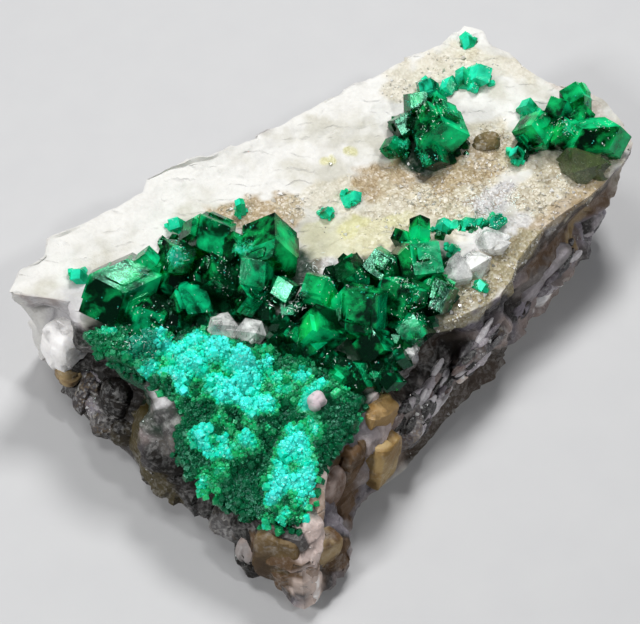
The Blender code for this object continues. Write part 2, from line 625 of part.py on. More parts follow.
def build():
    for old in list(bpy.data.objects):
        bpy.data.objects.remove(old)
    cutters = build_block()
    build_crystals(CRYSTAL_GROUPS, "dioptase", cutters)
    build_crystals(SINGLE_CRYSTALS, "dioptase", cutters)
    build_crystals(QUARTZ_CRYSTALS, "quartz", cutters, cap_faces=6, slope=QUARTZ_SLOPE)
    build_crystals(BROWN_GRAINS, "stained calcite", cutters, slope=CALCITE_SLOPE)
    build_crystals(WHITE_GRAINS, "calcite", cutters, slope=CALCITE_SLOPE)
    build_crust(cutters)


build()
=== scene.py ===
import math

import bpy
import numpy as np
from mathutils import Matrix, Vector
from mathutils.bvhtree import BVHTree


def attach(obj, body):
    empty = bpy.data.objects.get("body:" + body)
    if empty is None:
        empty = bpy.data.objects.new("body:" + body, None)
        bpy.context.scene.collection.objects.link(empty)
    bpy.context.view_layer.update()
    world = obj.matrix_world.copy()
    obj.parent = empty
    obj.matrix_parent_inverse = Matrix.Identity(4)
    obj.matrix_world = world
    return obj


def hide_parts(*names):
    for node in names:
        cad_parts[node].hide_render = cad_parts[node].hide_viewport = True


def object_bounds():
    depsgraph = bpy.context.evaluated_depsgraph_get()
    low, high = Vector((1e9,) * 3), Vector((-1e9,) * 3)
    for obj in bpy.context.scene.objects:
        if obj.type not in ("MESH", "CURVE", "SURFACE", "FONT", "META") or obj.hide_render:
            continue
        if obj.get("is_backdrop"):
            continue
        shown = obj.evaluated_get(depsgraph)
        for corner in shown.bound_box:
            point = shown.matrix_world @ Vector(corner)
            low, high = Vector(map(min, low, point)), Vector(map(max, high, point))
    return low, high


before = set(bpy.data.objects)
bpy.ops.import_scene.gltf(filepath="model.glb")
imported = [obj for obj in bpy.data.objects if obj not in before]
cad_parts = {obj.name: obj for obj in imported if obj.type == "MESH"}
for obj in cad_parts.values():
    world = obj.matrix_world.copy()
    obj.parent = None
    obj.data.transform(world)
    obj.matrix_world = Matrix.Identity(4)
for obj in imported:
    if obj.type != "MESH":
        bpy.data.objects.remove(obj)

cad_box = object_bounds()
scene = bpy.context.scene
scene.view_settings.view_transform = "Standard"


# ================================================================ the view
# A hand specimen on a pale table. The main light stands high behind it, so that the broken front walls stay
# in half shade, with a weaker one nearly overhead, one from the left and a small one from the front.
bearing, height = math.radians(-45.0), math.radians(50.0)
back = Vector((math.sin(bearing) * math.cos(height), -math.cos(bearing) * math.cos(height), math.sin(height)))
eye = bpy.data.objects.new("camera", bpy.data.cameras.new("camera"))
eye.location = Vector((-0.0087, -0.00103, 0.009)) + 0.170 * back
eye.rotation_euler = back.to_track_quat("Z", "Y").to_euler()
eye.data.lens, eye.data.sensor_width, eye.data.clip_start = 85.0, 36.0, 0.005
scene.collection.objects.link(eye)
scene.camera = eye

for name, around_z, up, distance, size, watts in (
    ("key_light", 122.0, 60.0, 0.36, 0.08, 0.95),
    ("top_light", -150.0, 72.0, 0.36, 0.12, 0.34),
    ("left_light", -100.0, 40.0, 0.36, 0.05, 0.60),
    ("front_light", 8.0, 50.0, 0.42, 0.03, 0.42),
):
    lamp = bpy.data.objects.new(name, bpy.data.lights.new(name, "AREA"))
    turn, lift = math.radians(around_z), math.radians(up)
    away = Vector((math.sin(turn) * math.cos(lift), -math.cos(turn) * math.cos(lift), math.sin(lift)))
    lamp.location, lamp.rotation_euler = distance * away, away.to_track_quat("Z", "Y").to_euler()
    lamp.data.size, lamp.data.energy = size, watts
    scene.collection.objects.link(lamp)

world = bpy.data.worlds.new("studio")
world.use_nodes = True
world.node_tree.nodes["Background"].inputs["Color"].default_value = (0.82, 0.88, 1.0, 1.0)
world.node_tree.nodes["Background"].inputs["Strength"].default_value = 0.085
scene.world = world


class Shade:
    """A socket of a material. Sums, differences and products of it add their Math nodes."""

    def __init__(self, tree, socket=None):
        """The tree that its nodes go into, and the output that it stands for."""
        self.tree, self.socket = tree, socket

    def node(self, kind, settings=None, inputs=None, output=0):
        """The output of a new node: its settings first, then its inputs, each a value or another Shade."""
        made = self.tree.nodes.new("ShaderNode" + kind)
        for key, value in (settings or {}).items():
            if key == "stops":
                ramp = made.color_ramp.elements
                while len(ramp) < len(value):
                    ramp.new(0.5)
                for stop, (place, colour) in zip(ramp, value):
                    stop.position, stop.color = place, colour
            else:
                setattr(made, key, value)
        for key, value in (inputs or {}).items():
            if isinstance(value, Shade):
                self.tree.links.new(value.socket, made.inputs[key])
            else:
                made.inputs[key].default_value = value
        return Shade(self.tree, made.outputs[output])

    def math(self, operation, *inputs, clamp=False):
        """A Math node's result, held between 0 and 1 if clamp is set."""
        return self.node("Math", {"operation": operation, "use_clamp": clamp}, dict(enumerate(inputs)))

    def __add__(self, other):
        return self.math("ADD", self, other)

    def __sub__(self, other):
        return self.math("SUBTRACT", self, other)

    def __rsub__(self, other):
        return self.math("SUBTRACT", other, self)

    def __mul__(self, other):
        return self.math("MULTIPLY", self, other)

    __radd__, __rmul__ = __add__, __mul__

    def held(self, low=0.0, high=1.0):
        """Itself spread so that low becomes 0 and high becomes 1, and kept between them."""
        return self.math("MULTIPLY", self - low, 1.0 / (high - low), clamp=True)

    def mix(self, first, second, blend="MIX"):
        """The first colour where it is 0 and the second where it is 1."""
        settings = {"data_type": "RGBA", "blend_type": blend}
        return self.node("Mix", settings, {0: self, 6: first, 7: second}, output=2)

    def place(self):
        """Object coordinates."""
        return self.node("TexCoord", output="Object")

    def noise(self, size_mm, detail=3.0, rough=0.55, twist=0.0):
        """Soft noise from 0 to 1 whose lumps are about size_mm across."""
        inputs = {"Vector": self.place(), "Scale": 1000.0 / size_mm, "Detail": detail,
                  "Roughness": rough, "Distortion": twist}
        return self.node("TexNoise", {}, inputs, output="Fac")

    def cells(self, size_mm, output="Color", feature="F1"):
        """Grains about size_mm across: a colour for each, or the distance from their middles."""
        inputs = {"Vector": self.place(), "Scale": 1000.0 / size_mm}
        return self.node("TexVoronoi", {"feature": feature}, inputs, output=output)

    def attribute(self, name, output="Fac"):
        """A value that the piece's own mesh carries."""
        return self.node("Attribute", {"attribute_name": name}, output=output)

    def green(self):
        """A colour's green part."""
        return self.node("SeparateColor", {}, {"Color": self}, output="Green")

    def lines(self, direction, scale, distortion, detail, detail_scale):
        """Wavy parallel lines, such as cleavage or growth lines."""
        inputs = {"Vector": self.place(), "Scale": scale, "Distortion": distortion, "Detail": detail,
                  "Detail Scale": detail_scale}
        return self.node("TexWave", {"bands_direction": direction}, inputs, output="Fac")

    def bump(self, height, size_mm, strength=1.0, normal=None):
        """A normal bent as if height stood size_mm out of the surface, on top of another one if given."""
        inputs = {"Height": height, "Distance": size_mm * 0.001, "Strength": strength}
        if normal:
            inputs["Normal"] = normal
        return self.node("Bump", {}, inputs)


def finish(name, paint, density=0.0, absorbed=(1.0, 1.0, 1.0, 1.0)):
    """A material whose paint function gives the Principled shader's inputs, with absorption if it has any.

    A paint function may give (inputs, skin inputs, share): the skin covers that share of the surface.
    """
    made = bpy.data.materials.new(name)
    made.use_nodes = True
    tree = made.node_tree
    tree.nodes.clear()
    start = Shade(tree)
    painted = paint(start)
    if isinstance(painted, tuple):
        body, skin = (start.node("BsdfPrincipled", {}, inputs) for inputs in painted[:2])
        shader = start.node("MixShader", {}, {0: painted[2], 1: body, 2: skin})
    else:
        shader = start.node("BsdfPrincipled", {}, painted)
    out = tree.nodes.new("ShaderNodeOutputMaterial")
    tree.links.new(shader.socket, out.inputs["Surface"])
    if density:
        depth = start.node("VolumeAbsorption", {}, {"Color": absorbed, "Density": density})
        tree.links.new(depth.socket, out.inputs["Volume"])
    return made


def table_paint(s):
    """A pale, matt table top with a very faint mottle."""
    mottle = s.noise(6.0)
    return {"Base Color": mottle.mix((0.46, 0.46, 0.465, 1.0), (0.49, 0.49, 0.49, 1.0)), "Roughness": 0.85}


MM = 0.001
MIDDLE = (0.7, -0.97, 0.0)  # of the whole specimen's box in the frame of the tables below


def piece(name, points, faces, material, tint=None, sharp=None, **numbers):
    """An object from points in the tables' millimetres and faces in lists or equal rows.

    tint is a colour and each of the numbers a value for every point. Edges sharper than sharp degrees
    stay sharp and the rest are smoothed; without it every face is flat.
    """
    mesh = bpy.data.meshes.new(name)
    places = ((np.asarray(points, float) - MIDDLE) * MM).tolist()
    mesh.from_pydata(places, [], [row for group in faces for row in np.asarray(group).tolist()])
    if tint is not None:
        colours = np.column_stack([tint, np.ones(len(tint))]).astype(np.float32)
        mesh.attributes.new("tint", "FLOAT_COLOR", "POINT").data.foreach_set("color", colours.ravel())
    for key, values in numbers.items():
        values = np.ascontiguousarray(values, dtype=np.float32)
        mesh.attributes.new(key, "FLOAT", "POINT").data.foreach_set("value", values)
    if sharp is None:
        mesh.shade_flat()
    else:
        mesh.shade_smooth()
        mesh.set_sharp_from_angle(angle=math.radians(sharp))
    mesh.materials.append(material)
    made = bpy.data.objects.new(name, mesh)
    scene.collection.objects.link(made)
    return made


table = piece("table", [(-900, -900, -0.02), (900, -900, -0.02), (900, 900, -0.02), (-900, 900, -0.02)],
              [[(0, 1, 2, 3)]], finish("table", table_paint))
table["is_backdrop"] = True


# ================================================================ the calcite block
# A broken slab of white calcite, smooth and milky over its back-left half, sugary and stained tan
# towards the crystals, with grey and tan walls that broke in ledges. It lies on a flat cleaved underside.
# How finely it is cut: between columns at the rim, and rows of the wall, the upper face and the underside.
RIM_SPACING = 0.345
WALL_ROWS, FACE_ROWS, BASE_ROWS = 60, 88, 3
# The upper face: how much it climbs along x and y, and its height in the middle.
FACE_TILT, FACE_HEIGHT = (0.04, 0.10), 15.6
RIM_STEP = 0.5
# The upright part of the normal up to which a surface is all wall, and from which it is none.
WALL_LEAN = (0.18, 0.89)
BASE_INSET, FOOT_HEIGHT, LOWEST_EDGE, FARTHEST_RIGHT = 2.2, 1.4, 0.3, 36.8
# How crisp the broken faces are, and how far under the rim the walls grow calm.
CRISP, RIM_CALM = 20.0, 2.6
# The corners, anticlockwise from above: rim (x, y, z), foot (x, y), and how far the wall is hollowed.
STATIONS = (
    (33.0, -13.3, 15.0, 29.0, -11.0, 0.5),
    (34.6, -10.5, 15.3, 31.5, -9.0, 0.2),
    (35.3, -7.5, 15.8, 31.5, -6.5, 0.0),
    (34.9, -4.0, 16.3, 30.5, -3.5, 0.5),
    (32.5, -0.2, 16.8, 30.0, 0.0, 0.0),
    (32.3, 3.8, 17.0, 29.0, 3.5, 0.0),
    (33.1, 6.2, 17.2, 29.5, 6.0, -0.5),
    (31.8, 8.0, 17.6, 28.5, 8.0, -0.5),
    (33.0, 10.5, 17.9, 28.5, 10.0, 0.0),
    (32.2, 12.8, 18.0, 27.5, 11.5, 0.0),
    (27.5, 12.2, 18.0, 25.0, 12.5, -0.5),
    (21.2, 13.5, 18.0, 20.5, 14.0, -1.0),
    (16.0, 14.2, 18.0, 15.5, 13.8, -1.0),
    (11.5, 15.3, 18.0, 11.0, 15.0, -1.2),
    (6.0, 15.6, 18.0, 5.5, 15.5, -1.0),
    (0.0, 16.2, 18.0, -1.0, 15.5, -1.0),
    (-5.5, 17.8, 18.0, -6.0, 17.5, -0.8),
    (-10.0, 20.0, 18.0, -10.0, 18.5, -0.5),
    (-13.2, 20.8, 17.8, -12.5, 19.0, -0.5),
    (-14.6, 19.6, 17.4, -14.5, 18.5, -0.5),
    (-20.0, 20.0, 17.1, -19.0, 18.5, -0.5),
    (-26.4, 21.7, 17.0, -23.5, 19.5, 0.0),
    (-28.2, 20.6, 16.8, -26.0, 19.0, 0.0),
    (-31.2, 20.7, 16.5, -28.0, 19.5, 0.0),
    (-33.9, 19.5, 16.0, -29.5, 18.5, 0.2),
    (-31.8, 16.5, 15.9, -30.5, 16.5, 0.5),
    (-29.8, 14.0, 15.7, -31.5, 14.5, 0.5),
    (-30.8, 10.6, 15.2, -32.5, 11.5, 1.0),
    (-31.6, 7.4, 14.6, -33.0, 7.5, 1.8),
    (-30.7, 3.4, 13.6, -32.8, 3.5, 2.2),
    (-30.8, -0.4, 12.6, -33.0, 0.5, 1.2),
    (-31.6, -3.2, 11.6, -34.0, -2.4, 0.0),
    (-33.0, -5.8, 10.4, -33.0, -5.0, 0.2),
    (-33.3, -8.2, 9.6, -32.2, -7.5, 0.2),
    (-32.6, -10.6, 9.2, -32.0, -10.0, 0.5),
    (-32.3, -13.8, 8.9, -31.8, -13.4, 0.5),
    (-31.8, -16.6, 8.8, -32.2, -17.0, 0.3),
    (-31.6, -19.2, 8.9, -32.2, -20.4, 0.2),
    (-30.4, -21.5, 9.0, -32.2, -24.0, -0.2),
    (-28.0, -20.5, 9.9, -29.6, -23.2, -0.2),
    (-25.4, -18.8, 10.6, -26.8, -21.4, 0.0),
    (-23.2, -17.6, 11.1, -24.0, -20.4, 0.5),
    (-20.4, -17.2, 11.7, -21.5, -19.7, 0.3),
    (-17.4, -16.5, 12.2, -18.0, -19.2, 0.0),
    (-13.6, -16.2, 12.6, -15.0, -19.2, 0.0),
    (-11.3, -14.6, 13.0, -12.5, -19.8, 0.5),
    (-7.7, -13.9, 13.3, -9.0, -19.5, 1.4),
    (-4.2, -15.0, 13.5, -5.5, -18.7, 1.8),
    (-0.8, -15.8, 13.6, -1.5, -18.0, 1.0),
    (2.0, -16.6, 13.8, 1.8, -17.6, 0.4),
    (4.6, -17.2, 13.9, 5.0, -17.2, 0.2),
    (7.2, -16.5, 14.0, 7.8, -16.5, 0.8),
    (9.8, -15.3, 14.1, 10.0, -15.9, 0.8),
    (12.6, -14.7, 14.2, 12.5, -15.3, 0.2),
    (15.8, -14.2, 14.3, 15.8, -15.3, 0.2),
    (19.4, -14.4, 14.4, 19.5, -15.0, 0.3),
    (23.2, -14.9, 14.5, 23.0, -13.6, 0.4),
    (25.8, -14.8, 14.6, 26.0, -12.4, 0.5),
    (29.2, -14.4, 14.8, 27.8, -11.8, 0.5),
)
# Swellings and hollows: centre (x, y, z), reach, and height out of the surface.
SWELLINGS = (
    (-31.6, 15.8, 8.4, 2.2, 2.0),  # white knob on the left wall
    (-31.6, 16.2, 12.2, 1.7, -0.9),  # groove over it
    (-32.5, 10.5, 5.0, 2.6, 1.0),
    (-31.5, 5.2, 10.5, 3.4, -1.8),  # dark hollow under the crust
    (-32.6, -1.6, 6.0, 3.0, 1.5),  # brown block on the left wall
    (-32.6, -8.5, 4.0, 3.0, 0.8),
    (-32.0, -12.6, 5.0, 1.9, -0.9),
    (-32.4, -18.8, 4.0, 2.8, 0.6),
    (-25.6, -21.8, 4.4, 2.2, 0.6),  # lump beside the front tip
    (-22.6, -18.6, 6.5, 2.2, -0.6),
    (-30.2, -2.6, 12.4, 1.6, 0.7),  # white spur beside the crust
    (-15.6, -17.8, 7.6, 2.4, 1.3),  # stained blocks on the front wall
    (-14.8, -18.8, 2.8, 2.2, 1.0),
    (-11.6, -18.0, 4.4, 1.8, 0.8),  # ledge that climbs to the right
    (-8.8, -17.8, 6.2, 2.2, 1.3),
    (-4.4, -17.4, 7.6, 2.2, 1.3),
    (0.6, -17.2, 7.8, 2.2, 1.2),
    (5.2, -17.2, 7.6, 1.9, 0.9),
    (-6.6, -15.6, 11.4, 2.8, -1.5),  # hollow over the ledge
    (3.4, -17.2, 4.4, 1.4, -0.8),
    (8.8, -16.0, 9.2, 1.8, -1.6),  # notch in the front wall
    (14.0, -15.4, 8.4, 2.4, 1.0),
    (18.4, -15.4, 6.4, 2.6, 0.8),
    (22.0, -14.6, 10.2, 2.6, -0.6),
    (11.5, 0.8, 16.6, 2.0, -0.9),  # pit beside the upper crystals
    (-7.5, 10.2, 16.8, 4.0, 0.4),  # grainy swelling behind the left crystals
    (-0.5, 7.6, 16.6, 4.0, 0.4),
    (17.5, 0.0, 16.6, 4.0, 0.4),
    (9.0, -9.5, 15.0, 4.0, 0.4),
    (-22.0, 16.0, 16.8, 5.0, 0.3),
    (-27.5, 17.5, 16.6, 3.0, -0.4),
)


def lattice(cells, seed):
    """A fixed number from -1 to 1 for each whole-numbered cell: its integers mixed and cut to 32 bits."""
    i, j, k = (cells[..., axis].astype(np.int64) for axis in range(3))
    mixed = (i * 73856093) ^ (j * 19349663) ^ (k * 83492791) ^ (seed * 26544357)
    mixed &= 0xFFFFFFFF
    mixed = ((mixed ^ (mixed >> 13)) * 1274126177) & 0xFFFFFFFF
    mixed = ((mixed ^ (mixed >> 16)) * 2246822519) & 0xFFFFFFFF
    return (mixed ^ (mixed >> 15)) / float(0xFFFFFFFF) * 2.0 - 1.0


def swirl(points, cell, seed):
    """Smooth noise: the numbers at the eight corners of a cell, blended by the S curve 3s^2 - 2s^3."""
    scaled = points / cell
    whole = np.floor(scaled)
    share = scaled - whole
    share = share * share * (3.0 - 2.0 * share)
    total = np.zeros(points.shape[:-1])
    for corner in np.ndindex(2, 2, 2):
        weight = np.prod(np.where(np.array(corner) == 1, share, 1.0 - share), axis=-1)
        total += weight * lattice(whole + np.array(corner), seed)
    return total


def nearby(points, cell, seed):
    """For each of the 27 cells round each point: the squared distance from its jittered centre, and the
    height of its tilted plane."""
    scaled = points / cell
    whole = np.floor(scaled)
    for step in np.ndindex(3, 3, 3):
        home = whole + np.array(step) - 1.0
        centre = home + 0.5 + 0.45 * np.stack([lattice(home, seed + n) for n in (1, 2, 3)], axis=-1)
        offset = scaled - centre
        tilt = np.stack([lattice(home, seed + n) for n in (4, 5, 6)], axis=-1)
        yield (offset**2).sum(axis=-1), (offset * tilt).sum(axis=-1) + 0.5 * lattice(home, seed + 7)


def chips(points, cell, seed):
    """Broken faces: the planes of nearby cells, each weighed by e^(-CRISP * its squared distance)."""
    total, weights = 0.0, 0.0
    for distance, plane in nearby(points, cell, seed):
        weight = np.exp(-CRISP * distance)
        total, weights = total + weight * plane, weights + weight
    return total / weights


def blocks(points, cell, seed, dome=0.7):
    """Blocky lumps that meet in creases: the highest of plane - dome * squared distance over nearby cells."""
    height = np.full(points.shape[:-1], -np.inf)
    for distance, plane in nearby(points, cell, seed):
        height = np.maximum(height, plane - dome * distance)
    return height - 0.4


def around(spacing):
    """The stations joined by straight stretches, cut so that rim columns are about spacing apart."""
    stations = np.array(STATIONS)
    following = np.roll(stations, -1, axis=0)
    lengths = np.linalg.norm((following - stations)[:, :3], axis=1)
    rows = []
    for start, end, length in zip(stations, following, lengths):
        share = np.arange(max(1, round(length / spacing))) / max(1, round(length / spacing))
        rows.append(start + (end - start) * share[:, None])
    return np.concatenate(rows)


def tilted(x, y):
    """Height of the plane that the upper face follows: FACE_HEIGHT + tilt . (x, y)."""
    return FACE_HEIGHT + FACE_TILT[0] * x + FACE_TILT[1] * y


RIM = around(RIM_STEP)[:, :3]
RIM_ORDER = np.argsort(np.arctan2(RIM[:, 1], RIM[:, 0]))
RIM_BEARING = np.arctan2(RIM[:, 1], RIM[:, 0])[RIM_ORDER]
RIM_REACH = np.hypot(RIM[:, 0], RIM[:, 1])[RIM_ORDER]
RIM_DROP = (RIM[:, 2] - tilted(RIM[:, 0], RIM[:, 1]))[RIM_ORDER]


def upper_face(x, y):
    """Height of the upper face: the tilted plane plus the rim's own drop times (reach share)^3."""
    here = np.arctan2(y, x)
    reach = np.interp(here, RIM_BEARING, RIM_REACH, period=2 * math.pi)
    drop = np.interp(here, RIM_BEARING, RIM_DROP, period=2 * math.pi)
    return tilted(x, y) + drop * np.clip(np.hypot(x, y) / reach, 0.0, 1.0) ** 3


def block_grid(column):
    """The block before it is broken: from the underside out to the foot, up the wall and over the face."""
    rim, foot, hollow = column[:, :3], column[:, 3:5], column[:, 5]
    reach = np.linalg.norm(foot, axis=1, keepdims=True)
    outward = foot / reach
    rows = []
    for share in np.linspace(0.0, 1.0, BASE_ROWS + 1)[1:]:
        rows.append(np.column_stack([outward * (reach - BASE_INSET) * share, np.zeros(len(foot))]))
    low = np.column_stack([foot, np.full(len(foot), FOOT_HEIGHT)])
    for share in np.linspace(0.0, 1.0, WALL_ROWS + 1):
        wall = low + (rim - low) * share
        wall[:, :2] -= outward * (hollow * math.sin(math.pi * share))[:, None]
        rows.append(wall)
    for share in np.linspace(1.0, 0.0, FACE_ROWS + 1)[1:-1]:
        x, y = (rim[:, :2] * share).T
        rows.append(np.column_stack([x, y, upper_face(x, y)]))
    return np.array(rows)


def closed_faces(rows, columns):
    """Quads between neighbouring rows, closed round the axis, and a fan at each end of it."""
    here = np.arange(columns)
    after = np.roll(here, -1)
    start = (np.arange(rows - 1) * columns)[:, None]
    quads = np.stack([start + here, start + after, start + columns + after, start + columns + here], axis=-1)
    low = np.stack([np.full(columns, rows * columns), after, here], axis=-1)
    last = (rows - 1) * columns
    high = np.stack([last + here, last + after, np.full(columns, rows * columns + 1)], axis=-1)
    return [quads.reshape(-1, 4), low, high]


def outward_normals(grid):
    """Unit normals: the step round the columns crossed with the step along the rows."""
    climb = np.gradient(grid, axis=0)
    turn = np.roll(grid, -1, axis=1) - np.roll(grid, 1, axis=1)
    normal = np.cross(turn, climb)
    return normal / np.maximum(np.linalg.norm(normal, axis=2, keepdims=True), 1e-9)


def line_distance(points, start, end):
    """How far each point is from the line from start to end."""
    start, end = np.array(start, float), np.array(end, float)
    along = end - start
    share = np.clip(((points - start) @ along) / max(along @ along, 1e-9), 0.0, 1.0)
    return np.linalg.norm(points - start - share[..., None] * along, axis=-1)


def patch(points, start, end, reach, seed=3, ragged=0.45):
    """1 in the band of points within reach of the line from start to end, fading out over a ragged edge."""
    away = line_distance(points, start, end) / reach
    away = away + ragged * swirl(points, 0.45 * reach + 0.3, seed) + 0.25 * swirl(points, 0.9, seed + 1)
    return np.clip((1.2 - away) / 0.4, 0.0, 1.0)


SNOW, WHITE, SILVER, CREAM = (0.94, 0.92, 0.90), (0.63, 0.62, 0.59), (0.52, 0.51, 0.52), (0.53, 0.48, 0.35)
YELLOW, TAN, PINK, LILAC = (0.54, 0.52, 0.25), (0.36, 0.26, 0.13), (0.56, 0.45, 0.41), (0.26, 0.235, 0.275)
OLIVE, BROWN, BAND = (0.085, 0.068, 0.030), (0.11, 0.062, 0.028), (0.045, 0.030, 0.020)
# The grey and the near-black colour are darker than the stone's own tone: painted shade on the walls and in
# hollows.
SHADED_GREY, SHADE_DARK, SHADE_UNDER_CRYSTALS = (0.036, 0.034, 0.034), (0.008, 0.007, 0.006), (0.002, 0.030, 0.012)
